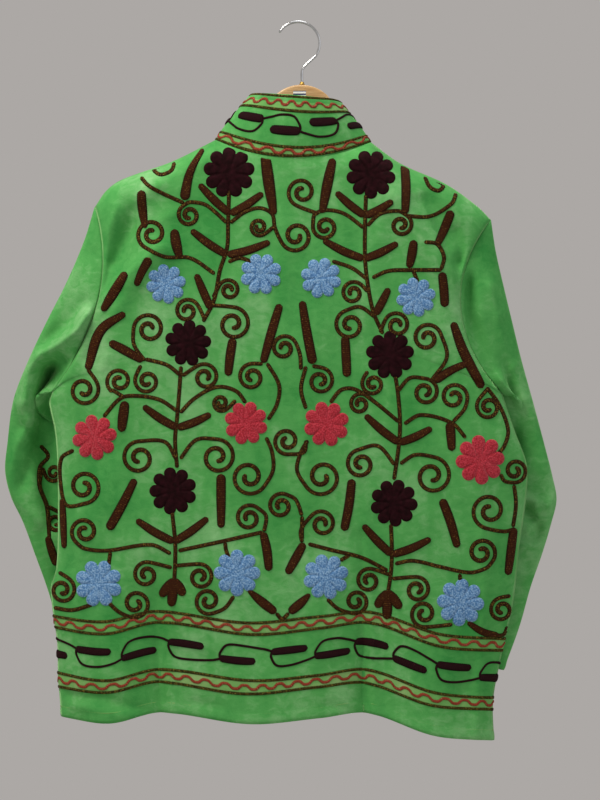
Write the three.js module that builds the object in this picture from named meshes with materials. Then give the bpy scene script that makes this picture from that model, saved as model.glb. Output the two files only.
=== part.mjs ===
// A velvet jacket with a stand collar, hanging closed on a flat wooden hanger.
// Millimetres, +Z up. The jacket's back faces -Y and its front faces +Y, so the wearer's left is at -X.
// The origin is the inside of the hook's top, where the hanger hangs.
// Every cloth piece is a wall: a grid of outer points, and the same grid moved in by the cloth's thickness.
import * as THREE from "three";

// Cloth and seams
const WALL = 2; // velvet with its backing cloth
const SEAM_GAP = 0.3; // between two pieces that are sewn together
const FRONT_GAP = 3; // between the two fronts, which meet edge to edge
const PETAL_LIFT = 0.8; // from the cloth to the underside of an applique flower
const PETAL_LIFT_AT_NECK = 2.4; // where the cloth turns up to the collar under it
const PETAL_THICKNESS = 1.6;
const PETALS = 8;
const NOTCH = 0.8; // radius between two petals, over the flower's radius

// Neck and collar
const NECK_LEFT = { x: -103, z: -146 }; // where the shoulder seam meets the collar
const NECK_RIGHT = { x: 91, z: -149 };
const NECK_DIP_BACK = 24; // how far the neckline drops at the centre back
const NECK_DIP_FRONT = 68;
const COLLAR_TOP = { x: -3, halfWidth: 57, back: 38, front: 60, zBack: -93, zFront: -146 };
const COLLAR_LEVEL = 3.5; // how long its top edge stays level before it dips to the front
const COLLAR_BULGE = 3; // the collar's middle stands this far out from a straight line

// Shoulders: how far below the seam the cloth turns from the ridge to the flat of the panel
const SHOULDER_TURN = 26;
const SECTION_POWER = 2.6; // how square the jacket's level sections are; 2 is an ellipse

// Folds die out at the panels' edges: over this share of the width, and this far below the shoulders
const FOLD_FREE = { share: 0.08, below: 30 };

// How many steps each grid has
const STEPS = { side: 16, armhole: 14, neck: 12, collar: 4, shoulder: { back: 11, front: 8 } };
const LEAST_STEP = 0.004; // columns nearer to a panel's edge than this share of the width are left out
const PLACE_ROUNDS = 12; // how often backPlace comes nearer to a point's place

// The outline of the body below the armholes, from the hem up
const SIDE_LEFT = [
  { z: -866, x: -296 },
  { z: -815, x: -300 },
  { z: -776, x: -301 },
  { z: -707, x: -309 },
  { z: -680, x: -302 },
  { z: -607, x: -300 },
  { z: -546, x: -301 },
  { z: -510, x: -304 },
  { z: -475, x: -311 },
  { z: -461, x: -307 },
];
const SIDE_RIGHT = [
  { z: -896, x: 245 },
  { z: -846, x: 244 },
  { z: -792, x: 254 },
  { z: -724, x: 269 },
  { z: -652, x: 277 },
  { z: -595, x: 285 },
  { z: -552, x: 286 },
  { z: -512, x: 272 },
  { z: -465, x: 256 },
];

// Each armhole is a loop from the shoulder tip to the underarm that bows towards the body
const ARMHOLE_LEFT = {
  top: { x: -254, z: -230 },
  bottom: { x: -307, z: -461 },
  bow: 32,
  back: 26,
  front: 16,
};
const ARMHOLE_RIGHT = {
  top: { x: 241, z: -246 },
  bottom: { x: 256, z: -465 },
  bow: -46,
  back: 26,
  front: 16,
};

// Shoulder seams and hem, by w, the share of the way from the left edge to the right
const SHOULDER_LEFT = [
  { w: 0, z: -230 },
  { w: 0.028, z: -210 },
  { w: 0.067, z: -196 },
  { w: 0.198, z: -172.5 },
  { w: 0.305, z: NECK_LEFT.z },
];
const SHOULDER_RIGHT = [
  { w: 0.697, z: NECK_RIGHT.z },
  { w: 0.77, z: -175 },
  { w: 0.889, z: -202 },
  { w: 0.968, z: -230 },
  { w: 1, z: -246 },
];
const NECK_W = { left: 0.305, right: 0.697 };
const HEM = [
  { w: 0, z: -866 },
  { w: 0.114, z: -873 },
  { w: 0.233, z: -860 },
  { w: 0.437, z: -873 },
  { w: 0.598, z: -866 },
  { w: 0.709, z: -861 },
  { w: 0.86, z: -888 },
  { w: 1, z: -896 },
];

// How far each face stands from the side seams' plane
const DEPTH = [
  { z: -896, back: 34, front: 16 },
  { z: -750, back: 38, front: 17 },
  { z: -600, back: 44, front: 18 },
  { z: -420, back: 46, front: 20 },
  { z: -320, back: 44, front: 24 },
  { z: -230, back: 41, front: 29 },
  { z: -120, back: 40, front: 30 },
];

// Folds: a ridge (height over 0) or trough from one end to the other, its width across, its fade towards the end
const BACK_FOLDS = [
  { name: "left hem trough", from: [-171, -880], to: [-176, -655], width: 30, height: -13, fade: 1 },
  { name: "right hem trough", from: [87, -880], to: [84, -560], width: 32, height: -14, fade: 1 },
  { name: "left hem ridge", from: [-236, -880], to: [-232, -690], width: 32, height: 6, fade: 1 },
  { name: "middle hem ridge", from: [-55, -880], to: [-45, -620], width: 55, height: 7, fade: 1 },
  { name: "right hem ridge", from: [170, -895], to: [176, -680], width: 38, height: 8, fade: 1 },
  { name: "long drag ridge, top", from: [130, -232], to: [185, -318], width: 19, height: 7, fade: 0 },
  { name: "long drag ridge, middle", from: [185, -318], to: [240, -425], width: 19, height: 12, fade: 0 },
  { name: "long drag ridge, foot", from: [240, -425], to: [268, -520], width: 20, height: 9, fade: 0.5 },
  { name: "hollow over the right arm", from: [160, -222], to: [214, -330], width: 18, height: -7, fade: 0 },
  { name: "left drag ridge", from: [-172, -286], to: [-262, -372], width: 18, height: 9, fade: 0 },
  { name: "hollow over the left arm", from: [-212, -238], to: [-232, -320], width: 20, height: -8, fade: 0 },
  { name: "left shoulder ridge", from: [-178, -205], to: [-240, -258], width: 13, height: 5, fade: 0 },
];
const FRONT_FOLDS = [
  { name: "left hem trough", from: [-150, -880], to: [-146, -640], width: 30, height: -8, fade: 1 },
  { name: "right hem trough", from: [128, -890], to: [122, -620], width: 30, height: -8, fade: 1 },
  { name: "left chest trough", from: [-120, -250], to: [-200, -400], width: 20, height: -6, fade: 0 },
  { name: "right chest trough", from: [110, -250], to: [190, -400], width: 20, height: -6, fade: 0 },
];

// Sleeves: a ring for each section, from the shoulder side (outer) to the underarm side (inner).
// near and far: the ring's reach towards -Y and +Y; bow bends it towards the body; square fills its corners.
const SLEEVE_LEFT = [
  { ox: -267, oz: -271, oy: 0, ix: -321, iz: -463, iy: 0, bow: 24, near: 24, far: 17, square: 0.05 },
  { ox: -288, oz: -321, oy: 1, ix: -327, iz: -471, iy: 10, bow: 15, near: 20, far: 18, square: 0.1 },
  { ox: -316, oz: -376, oy: 5, ix: -322, iz: -488, iy: 25, bow: 8, near: 16, far: 18, square: 0.15 },
  { ox: -339, oz: -424, oy: 12, ix: -297, iz: -506, iy: 34, bow: 3, near: 13, far: 16, square: 0.2 },
  { ox: -357, oz: -471, oy: 18, ix: -270, iz: -531, iy: 38, bow: 0, near: 13, far: 15, square: 0.2 },
  { ox: -365, oz: -526, oy: 23, ix: -242, iz: -560, iy: 39, bow: 0, near: 13, far: 14, square: 0.2 },
  { ox: -368, oz: -560, oy: 26, ix: -226, iz: -584, iy: 39, bow: 0, near: 13, far: 14, square: 0.2 },
  { ox: -361, oz: -592, oy: 28, ix: -216, iz: -606, iy: 38, bow: 0, near: 12, far: 14, square: 0.2 },
  { ox: -346, oz: -624, oy: 30, ix: -208, iz: -630, iy: 38, bow: 0, near: 12, far: 14, square: 0.2 },
  { ox: -331, oz: -665, oy: 33, ix: -200, iz: -662, iy: 38, bow: 0, near: 12, far: 13, square: 0.2 },
  { ox: -315, oz: -710, oy: 36, ix: -190, iz: -700, iy: 38, bow: 0, near: 12, far: 13, square: 0.2 },
  { ox: -300, oz: -762, oy: 38, ix: -177, iz: -746, iy: 38, bow: 0, near: 12, far: 12, square: 0.2 },
  { ox: -283, oz: -816, oy: 38, ix: -163, iz: -791, iy: 38, bow: 0, near: 12, far: 12, square: 0.2 },
];
const SLEEVE_RIGHT = [
  { ox: 247, oz: -284, oy: 0, ix: 272, iz: -468, iy: 0, bow: -34, near: 24, far: 17, square: 0.05 },
  { ox: 256, oz: -324, oy: 1, ix: 280, iz: -477, iy: 11, bow: -22, near: 20, far: 18, square: 0.1 },
  { ox: 267, oz: -369, oy: 5, ix: 277, iz: -492, iy: 26, bow: -12, near: 16, far: 18, square: 0.15 },
  { ox: 280, oz: -421, oy: 12, ix: 253, iz: -508, iy: 35, bow: -5, near: 13, far: 16, square: 0.2 },
  { ox: 295, oz: -474, oy: 18, ix: 232, iz: -532, iy: 39, bow: 0, near: 12, far: 15, square: 0.2 },
  { ox: 310, oz: -529, oy: 23, ix: 208, iz: -560, iy: 40, bow: 0, near: 12, far: 14, square: 0.2 },
  { ox: 320, oz: -568, oy: 26, ix: 193, iz: -582, iy: 40, bow: 0, near: 12, far: 14, square: 0.2 },
  { ox: 325, oz: -596, oy: 28, ix: 185, iz: -604, iy: 39, bow: 0, near: 12, far: 14, square: 0.2 },
  { ox: 319, oz: -624, oy: 30, ix: 178, iz: -627, iy: 39, bow: 0, near: 12, far: 14, square: 0.2 },
  { ox: 308, oz: -662, oy: 33, ix: 173, iz: -656, iy: 39, bow: 0, near: 12, far: 13, square: 0.2 },
  { ox: 293, oz: -706, oy: 36, ix: 165, iz: -698, iy: 39, bow: 0, near: 12, far: 13, square: 0.2 },
  { ox: 279, oz: -756, oy: 38, ix: 155, iz: -743, iy: 39, bow: 0, near: 12, far: 12, square: 0.2 },
  { ox: 259, oz: -811, oy: 38, ix: 138, iz: -786, iy: 39, bow: 0, near: 12, far: 12, square: 0.2 },
];
const LEFT_SLEEVE_FOLDS = [
  { name: "drag ridge", from: [-262, -372], to: [-322, -424], width: 15, height: 8, fade: 0 },
  { name: "eye of the elbow fold", from: [-322, -440], to: [-292, -454], width: 10, height: -9, fade: 0 },
  { name: "elbow overlap", from: [-350, -560], to: [-322, -505], width: 12, height: 7, fade: 0 },
  { name: "under the overlap", from: [-340, -596], to: [-312, -560], width: 12, height: -6, fade: 0 },
  { name: "forearm trough", from: [-322, -640], to: [-302, -690], width: 10, height: -4, fade: 0 },
];
const RIGHT_SLEEVE_FOLDS = [
  { name: "outer ridge", from: [252, -300], to: [288, -480], width: 12, height: 4, fade: 0 },
  { name: "elbow trough", from: [284, -597], to: [325, -594], width: 9, height: -7, fade: 0 },
  { name: "forearm trough", from: [279, -641], to: [312, -641], width: 10, height: -5, fade: 0 },
  { name: "ridge over the elbow", from: [286, -560], to: [318, -552], width: 14, height: 5, fade: 0 },
];

// Applique flowers on the back: centre and radius
const FLOWERS = [
  { x: -86, z: -190, radius: 29, lift: PETAL_LIFT_AT_NECK },
  { x: 88, z: -198, radius: 29, lift: PETAL_LIFT_AT_NECK - 0.3 },
  { x: -138, z: -400, radius: 29 },
  { x: 115, z: -415, radius: 31 },
  { x: -156, z: -585, radius: 30 },
  { x: 120, z: -600, radius: 30 },
  { x: -165, z: -326, radius: 25 },
  { x: -46, z: -314, radius: 26 },
  { x: 29, z: -319, radius: 26 },
  { x: 147, z: -342, radius: 25 },
  { x: -250, z: -701, radius: 30 },
  { x: -76, z: -688, radius: 29 },
  { x: 35, z: -692, radius: 29 },
  { x: 204, z: -725, radius: 30 },
  { x: -255, z: -518, radius: 29 },
  { x: -65, z: -500, radius: 28 },
  { x: 36, z: -501, radius: 29 },
  { x: 228, z: -546, radius: 30 },
];
const FLOWER_COLOURS = { dark: "#2a0a12", blue: "#5b8fc4", red: "#c42840" };

// Hanger
const HANGER = {
  x: 4, // where its middle is
  thickness: 10,
  crownZ: -77, // the top of its middle
  crownRadius: 47,
  armStart: 100, // from the middle to where the shoulders lie on it
  armEnd: 184,
  under: 2.4, // from the cloth down to the wood
  endDepth: 22, // how tall an arm is at its end
  crownTurn: 0.8, // radians each way that the crown is round
  waist: [
    { x: 50, z: -114 }, // between the crown and the arms, inside the collar
    { x: 68, z: -146 },
  ],
  middleFoot: -150, // the underside at the middle
};
const HOOK = { wire: 3.5, radius: 27, stemX: 5, startDeg: 150, endDeg: -40, halfSides: 5, steps: 30 };
const LABEL = { x: 2, width: 16, height: 16, thickness: 1, above: 6, clear: 1.4 };

// ---- Small helpers ----

const lerp = (a, b, t) => a + (b - a) * t;
const clamp = (value, low, high) => Math.min(high, Math.max(low, value));
const smooth = (low, high, value) => {
  const t = clamp((value - low) / (high - low), 0, 1);
  return t * t * (3 - 2 * t);
};

// A smooth curve through a table's rows: column `value` as a function of column `key`, which rises
function follow(rows, key, value, at) {
  const last = rows.length - 1;
  const x = clamp(at, rows[0][key], rows[last][key]);
  let i = 0;
  while (i < last - 1 && x > rows[i + 1][key]) i += 1;
  const slope = (a, b) => (rows[b][value] - rows[a][value]) / (rows[b][key] - rows[a][key]);
  const span = rows[i + 1][key] - rows[i][key];
  const t = (x - rows[i][key]) / span;
  const before = slope(Math.max(i - 1, 0), i + 1) * span;
  const after = slope(i, Math.min(i + 2, last)) * span;
  const t2 = t * t;
  const t3 = t2 * t;
  return (
    rows[i][value] * (2 * t3 - 3 * t2 + 1) +
    before * (t3 - 2 * t2 + t) +
    rows[i + 1][value] * (3 * t2 - 2 * t3) +
    after * (t3 - t2)
  );
}

// How far the folds lift the cloth at a point of the outline
function foldHeight(folds, x, z) {
  let height = 0;
  for (const f of folds) {
    const [x0, z0] = f.from;
    const dx = f.to[0] - x0;
    const dz = f.to[1] - z0;
    const t = clamp(((x - x0) * dx + (z - z0) * dz) / (dx * dx + dz * dz), 0, 1);
    const away = Math.hypot(x - x0 - t * dx, z - z0 - t * dz);
    height += f.height * (1 - f.fade * t) * Math.exp(-((away / f.width) ** 2));
  }
  return height;
}

// ---- The body's surface, which the back, the fronts, the collar and the flowers share ----

// The loop of an armhole at angle phi, from the shoulder tip (0) to the underarm (pi)
function armholePoint(hole, phi) {
  const c = Math.cos(phi);
  const s = Math.abs(Math.sin(phi));
  const x = (hole.top.x + hole.bottom.x) / 2 + (c * (hole.top.x - hole.bottom.x)) / 2 + hole.bow * s * s;
  const z = (hole.top.z + hole.bottom.z) / 2 + (c * (hole.top.z - hole.bottom.z)) / 2;
  return { x, z, back: hole.back * s, front: hole.front * s };
}

// The edge of the body on one side at height z: where it is, and how far the armhole holds it open there
function edgeAt(side, hole, z) {
  const half = (hole.top.z - hole.bottom.z) / 2;
  const c = (z - (hole.top.z + hole.bottom.z) / 2) / half;
  if (c <= -1) return { x: follow(side, "z", "x", z), back: 0, front: 0 };
  return armholePoint(hole, Math.acos(clamp(c, -1, 1)));
}

// The top line of a face at w: the shoulder seams, and the neckline with its dip
function topLine(w, dip) {
  if (w <= NECK_W.left) return follow(SHOULDER_LEFT, "w", "z", w);
  if (w >= NECK_W.right) return follow(SHOULDER_RIGHT, "w", "z", w);
  const t = (w - NECK_W.left) / (NECK_W.right - NECK_W.left);
  const open = neckOpening(w);
  return lerp(NECK_LEFT.z, NECK_RIGHT.z, t) - dip * open * open;
}

// 0 on the shoulders, and rising to 1 at the middle of the neck
function neckOpening(w) {
  const middle = (NECK_W.left + NECK_W.right) / 2;
  const half = (NECK_W.right - NECK_W.left) / 2;
  const t = (w - middle) / half;
  return Math.abs(t) < 1 ? Math.sqrt(1 - t * t) : 0;
}

// A point of a face of the body. face is "back" or "front"; w runs across and g up, each from 0 to 1
function bodyPoint(face, w, g) {
  const isBack = face === "back";
  const hemZ = follow(HEM, "w", "z", w);
  const topZ = topLine(w, isBack ? NECK_DIP_BACK : NECK_DIP_FRONT);
  const z = lerp(hemZ, topZ, g);
  const left = edgeAt(SIDE_LEFT, ARMHOLE_LEFT, lerp(HEM[0].z, ARMHOLE_LEFT.top.z, g));
  const right = edgeAt(SIDE_RIGHT, ARMHOLE_RIGHT, lerp(HEM.at(-1).z, ARMHOLE_RIGHT.top.z, g));
  const x = lerp(left.x, right.x, w);
  const across = Math.abs(2 * w - 1);
  const section = (1 - across ** SECTION_POWER) ** (1 / SECTION_POWER);
  const below = topZ - z;
  const turn = Math.sqrt(1 - (1 - clamp(below / SHOULDER_TURN, 0, 1)) ** 2);
  const open = neckOpening(w);
  const full = Math.sqrt(open ** 2 + (1 - open ** 2) * turn ** 2) * follow(DEPTH, "z", face, z);
  const held = lerp(left[face], right[face], w);
  const folds = isBack ? BACK_FOLDS : FRONT_FOLDS;
  const free = smooth(0, FOLD_FREE.share, 0.5 - Math.abs(w - 0.5)) * smooth(0, FOLD_FREE.below, below);
  const depth = held + (full - held) * section + foldHeight(folds, x, z) * free;
  return new THREE.Vector3(x, (isBack ? -1 : 1) * (depth + SEAM_GAP / 2), z);
}

// w and g of the point of the back that lies at x, z
function backPlace(x, z) {
  let w = 0.5;
  let g = 0.5;
  for (let i = 0; i < PLACE_ROUNDS; i += 1) {
    const left = edgeAt(SIDE_LEFT, ARMHOLE_LEFT, lerp(HEM[0].z, ARMHOLE_LEFT.top.z, g)).x;
    const right = edgeAt(SIDE_RIGHT, ARMHOLE_RIGHT, lerp(HEM.at(-1).z, ARMHOLE_RIGHT.top.z, g)).x;
    w = clamp((x - left) / (right - left), 0, 1);
    const hemZ = follow(HEM, "w", "z", w);
    g = clamp((z - hemZ) / (topLine(w, NECK_DIP_BACK) - hemZ), 0, 1);
  }
  return { w, g };
}

// ---- Walls from grids ----

// The way into the cloth at each point of a grid, away from `outward` at the grid's middle
function inwardNormals(grid, wraps, outward) {
  const rows = grid.length;
  const columns = grid[0].length;
  const normals = grid.map((row, i) =>
    row.map((_, j) => {
      const up = grid[Math.min(i + 1, rows - 1)][j].clone().sub(grid[Math.max(i - 1, 0)][j]);
      const after = wraps ? (j + 1) % columns : Math.min(j + 1, columns - 1);
      const before = wraps ? (j + columns - 1) % columns : Math.max(j - 1, 0);
      const across = grid[i][after].clone().sub(grid[i][before]);
      return up.cross(across).normalize();
    }),
  );
  const middle = normals[Math.floor(rows / 2)][wraps ? 0 : Math.floor(columns / 2)];
  if (middle.dot(outward) > 0) normals.forEach((row) => row.forEach((n) => n.negate()));
  return normals;
}

// A closed wall: the outer grid, the inner grid and the strips along the open edges
function wallGeometry(grid, inward, wraps, thickness = WALL) {
  const rows = grid.length;
  const columns = grid[0].length;
  const outer = grid.flat();
  const inner = outer.map((p, k) => p.clone().addScaledVector(inward.flat()[k], thickness));
  const positions = [...outer, ...inner].flatMap((p) => [p.x, p.y, p.z]);
  const count = rows * columns;
  const index = [];
  const quad = (a, b, c, d) => index.push(a, b, c, a, c, d);
  const at = (i, j) => i * columns + (j % columns);
  const spans = wraps ? columns : columns - 1;
  for (let i = 0; i < rows - 1; i += 1) {
    for (let j = 0; j < spans; j += 1) {
      quad(at(i, j), at(i, j + 1), at(i + 1, j + 1), at(i + 1, j));
      quad(count + at(i, j), count + at(i + 1, j), count + at(i + 1, j + 1), count + at(i, j + 1));
    }
  }
  for (let j = 0; j < spans; j += 1) {
    quad(at(0, j + 1), at(0, j), count + at(0, j), count + at(0, j + 1));
    quad(at(rows - 1, j), at(rows - 1, j + 1), count + at(rows - 1, j + 1), count + at(rows - 1, j));
  }
  if (!wraps) {
    for (let i = 0; i < rows - 1; i += 1) {
      const last = columns - 1;
      quad(at(i, 0), at(i + 1, 0), count + at(i + 1, 0), count + at(i, 0));
      quad(at(i + 1, last), at(i, last), count + at(i, last), count + at(i + 1, last));
    }
  }
  return closedGeometry(positions, index);
}

// A mesh from points and triangles, with the triangles turned to face out
function closedGeometry(positions, index) {
  const corner = (k) => new THREE.Vector3().fromArray(positions, 3 * index[k]);
  let volume = 0;
  for (let k = 0; k < index.length; k += 3) {
    volume += corner(k).dot(corner(k + 1).cross(corner(k + 2))) / 6;
  }
  if (volume < 0) {
    for (let k = 0; k < index.length; k += 3) [index[k], index[k + 1]] = [index[k + 1], index[k]];
  }
  const geometry = new THREE.BufferGeometry();
  geometry.setAttribute("position", new THREE.Float32BufferAttribute(positions, 3));
  geometry.setIndex(index);
  geometry.computeVertexNormals();
  return geometry;
}

// ---- Panels ----

// The rows of the body's grid, from the hem up; phi is the armhole's angle, or null below it
function bodyRows() {
  const rows = [];
  const under = (hem, hole) => (hole.bottom.z - hem) / (hole.top.z - hem);
  const leftUnder = under(HEM[0].z, ARMHOLE_LEFT);
  const rightUnder = under(HEM.at(-1).z, ARMHOLE_RIGHT);
  for (let i = 0; i < STEPS.side; i += 1) {
    const t = i / STEPS.side;
    rows.push({ left: leftUnder * t, right: rightUnder * t, phi: null });
  }
  for (let i = 0; i <= STEPS.armhole; i += 1) {
    const phi = Math.PI * (1 - i / STEPS.armhole);
    const t = (1 + Math.cos(phi)) / 2;
    rows.push({ left: lerp(leftUnder, 1, t), right: lerp(rightUnder, 1, t), phi });
  }
  return rows;
}

// The columns of one face, from one w to another, closer together towards the side seams
function bodyColumns(face, from, to) {
  const columns = [];
  const steps = STEPS.shoulder[face];
  const across = (j) => 1 - Math.cos(((j / steps) * Math.PI) / 2);
  for (let j = 0; j <= steps; j += 1) columns.push(NECK_W.left * across(j));
  const middle = (NECK_W.left + NECK_W.right) / 2;
  const half = (NECK_W.right - NECK_W.left) / 2;
  for (let j = 1; j < STEPS.neck; j += 1) {
    columns.push(middle - half * Math.cos((j / STEPS.neck) * Math.PI));
  }
  for (let j = steps; j >= 0; j -= 1) columns.push(1 - (1 - NECK_W.right) * across(j));
  const inside = columns.filter((w) => w > from + LEAST_STEP && w < to - LEAST_STEP);
  return [from, ...inside, to];
}

// A seam's own plane decides which way its edge is thick, so that two pieces sewn there never cross
function seamInward(face, w, row, isTop) {
  const side = face === "back" ? -1 : 1;
  const atLeft = w === 0;
  const atRight = w === 1;
  const hole = atLeft ? ARMHOLE_LEFT : ARMHOLE_RIGHT;
  const inX = w < 0.5 ? 1 : -1;
  if (isTop && neckOpening(w) > 0) {
    const across = neckInward(w, face);
    return new THREE.Vector3(across.x, across.y, 0);
  }
  if (isTop && (w === NECK_W.left || w === NECK_W.right)) return new THREE.Vector3(inX, 0, -1).normalize();
  if (isTop) return new THREE.Vector3(0, 0, -1);
  if (!atLeft && !atRight) return null;
  if (row.phi === null) return new THREE.Vector3(inX, 0, 0);
  if (row.phi === Math.PI) return new THREE.Vector3(inX, 0, 1).normalize();
  return armholeInward(hole, row.phi, side);
}

function armholeInward(hole, phi, side) {
  const reach = side < 0 ? hole.back : hole.front;
  const half = (hole.top.z - hole.bottom.z) / 2;
  return new THREE.Vector3(0, -side * Math.sin(phi) * half, -Math.cos(phi) * reach).normalize();
}

// Across the neckline, into the neck, in the level plane
function neckInward(w, face) {
  const middle = (NECK_W.left + NECK_W.right) / 2;
  const half = (NECK_W.right - NECK_W.left) / 2;
  const t = (w - middle) / half;
  const halfWidth = (NECK_RIGHT.x - NECK_LEFT.x) / 2;
  const reach = Math.abs(bodyPoint(face, middle, 1).y);
  const side = face === "back" ? -1 : 1;
  return new THREE.Vector2(-t * reach, -side * neckOpening(w) * halfWidth).normalize();
}

function panelGeometry(face, from, to) {
  const rows = bodyRows();
  const columns = bodyColumns(face, from, to);
  const grid = rows.map((row) => columns.map((w) => bodyPoint(face, w, lerp(row.left, row.right, w))));
  const inward = inwardNormals(grid, false, new THREE.Vector3(0, face === "back" ? -1 : 1, 0));
  rows.forEach((row, i) => {
    columns.forEach((w, j) => {
      const seam = seamInward(face, w, row, i === rows.length - 1);
      if (seam) inward[i][j].copy(seam);
    });
  });
  return wallGeometry(grid, inward, false);
}

// ---- Sleeves ----

function sleeveGeometry(hole, sections, folds, side) {
  const around = 2 * STEPS.armhole;
  const first = [];
  const firstInward = [];
  for (let j = 0; j < around; j += 1) {
    const phi = (2 * Math.PI * j) / around;
    const p = armholePoint(hole, phi);
    const isNear = phi <= Math.PI;
    const y = isNear ? -p.back - SEAM_GAP / 2 : p.front + SEAM_GAP / 2;
    first.push(new THREE.Vector3(p.x + side * SEAM_GAP, j % STEPS.armhole === 0 ? 0 : y, p.z));
    const mirrored = isNear ? phi : 2 * Math.PI - phi;
    firstInward.push(armholeInward(hole, mirrored, isNear ? -1 : 1));
  }
  const rings = sections.map((s) => {
    const ring = [];
    for (let j = 0; j < around; j += 1) {
      const phi = (2 * Math.PI * j) / around;
      const c = Math.cos(phi) * (1 + s.square * Math.sin(phi) ** 2);
      const across = Math.sin(phi) * (1 + s.square * Math.cos(phi) ** 2);
      const t = (1 - c) / 2;
      const x = lerp(s.ox, s.ix, t) + s.bow * across * across;
      const z = lerp(s.oz, s.iz, t);
      const lift = across > 0 ? foldHeight(folds, x, z) * across : 0;
      const y = lerp(s.oy, s.iy, t) - (across > 0 ? s.near : s.far) * across - lift;
      ring.push(new THREE.Vector3(x, y, z));
    }
    return ring;
  });
  const grid = [first, ...rings];
  const inward = inwardNormals(grid, true, new THREE.Vector3(side, 0, 0));
  firstInward.forEach((n, j) => inward[0][j].copy(n));
  return wallGeometry(grid, inward, true);
}

// ---- Collar ----

// The collar's grid goes up from the neckline, round from one front edge, past the back, to the other
function collarGeometry() {
  const middle = (NECK_W.left + NECK_W.right) / 2;
  const half = (NECK_W.right - NECK_W.left) / 2;
  const places = [];
  const step = Math.PI / STEPS.neck;
  const edge = Math.asin(FRONT_GAP / (NECK_RIGHT.x - NECK_LEFT.x));
  for (let j = 0; j <= 2 * STEPS.neck; j += 1) {
    places.push(clamp(-Math.PI + j * step, -Math.PI + edge, Math.PI - edge));
  }
  const grid = [];
  for (let i = 0; i <= STEPS.collar; i += 1) {
    const up = i / STEPS.collar;
    grid.push(
      places.map((turn) => {
        const w = middle + half * Math.sin(turn);
        const face = Math.cos(turn) >= 0 ? "back" : "front";
        const foot = bodyPoint(face, w, 1);
        const reach = face === "back" ? COLLAR_TOP.back : COLLAR_TOP.front;
        const out = Math.sin(Math.PI * up) * COLLAR_BULGE;
        const frontness = (1 - Math.cos(turn)) / 2;
        return new THREE.Vector3(
          lerp(foot.x, COLLAR_TOP.x + COLLAR_TOP.halfWidth * Math.sin(turn), up) + out * Math.sin(turn),
          lerp(foot.y, -reach * Math.cos(turn), up) - out * Math.cos(turn),
          lerp(foot.z + SEAM_GAP, lerp(COLLAR_TOP.zBack, COLLAR_TOP.zFront, frontness ** COLLAR_LEVEL), up),
        );
      }),
    );
  }
  const inward = inwardNormals(grid, false, new THREE.Vector3(0, -1, 0));
  places.forEach((turn, j) => {
    const w = middle + half * Math.sin(turn);
    const face = Math.cos(turn) >= 0 ? "back" : "front";
    const across = neckInward(w, face);
    inward[0][j].set(across.x, across.y, 0);
  });
  return wallGeometry(grid, inward, false);
}

// ---- Applique flowers ----

// The point of the back panel's own facets that lies at x, z
function backFacet(x, z) {
  const place = backPlace(x, z);
  const columns = bodyColumns("back", 0, 1);
  const rows = bodyRows().map((row) => lerp(row.left, row.right, place.w));
  const j = Math.max(0, columns.findLastIndex((w) => w <= place.w && w < 1));
  const i = Math.max(0, rows.findLastIndex((g) => g <= place.g && g < 1));
  const across = (place.w - columns[j]) / (columns[j + 1] - columns[j]);
  const up = (place.g - rows[i]) / (rows[i + 1] - rows[i]);
  const corner = (row, w) => {
    const { left, right } = bodyRows()[row];
    return bodyPoint("back", w, lerp(left, right, w));
  };
  const low = corner(i, columns[j]).lerp(corner(i, columns[j + 1]), across);
  return low.lerp(corner(i + 1, columns[j]).lerp(corner(i + 1, columns[j + 1]), across), up);
}

// A point that stands off the back panel at x, z
function offBack(x, z, lift) {
  const step = 4;
  const slopeX = (backFacet(x + step, z).y - backFacet(x - step, z).y) / (2 * step);
  const slopeZ = (backFacet(x, z + step).y - backFacet(x, z - step).y) / (2 * step);
  const outward = new THREE.Vector3(slopeX, -1, slopeZ).normalize();
  return new THREE.Vector3(x, backFacet(x, z).y, z).addScaledVector(outward, lift);
}

function flowerGeometry(flower) {
  const rim = 2 * PETALS;
  const places = [[flower.x, flower.z]];
  for (const share of [0.5, 1]) {
    for (let j = 0; j < rim; j += 1) {
      const turn = (2 * Math.PI * j) / rim;
      const r = flower.radius * share * (j % 2 ? NOTCH : 1);
      places.push([flower.x + r * Math.cos(turn), flower.z + r * Math.sin(turn)]);
    }
  }
  const lift = flower.lift ?? PETAL_LIFT;
  const under = places.map(([x, z]) => offBack(x, z, lift));
  const over = places.map(([x, z]) => offBack(x, z, lift + PETAL_THICKNESS));
  const positions = [...under, ...over].flatMap((p) => [p.x, p.y, p.z]);
  const count = places.length;
  const index = [];
  const quad = (a, b, c, d) => index.push(a, b, c, a, c, d);
  for (let j = 0; j < rim; j += 1) {
    const next = (j + 1) % rim;
    const [a, b] = [1 + j, 1 + next];
    const [c, d] = [1 + rim + j, 1 + rim + next];
    index.push(0, b, a, count, count + a, count + b);
    quad(a, b, d, c);
    quad(count + a, count + c, count + d, count + b);
    quad(c, d, count + d, count + c);
  }
  return closedGeometry(positions, index);
}

// ---- Hanger ----

// The top of the wood at x: its round crown, then the line on which the shoulders lie
function shoulderSeamZ(x) {
  const width = ARMHOLE_RIGHT.top.x - ARMHOLE_LEFT.top.x;
  return topLine((x - ARMHOLE_LEFT.top.x) / width, 0);
}

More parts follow.
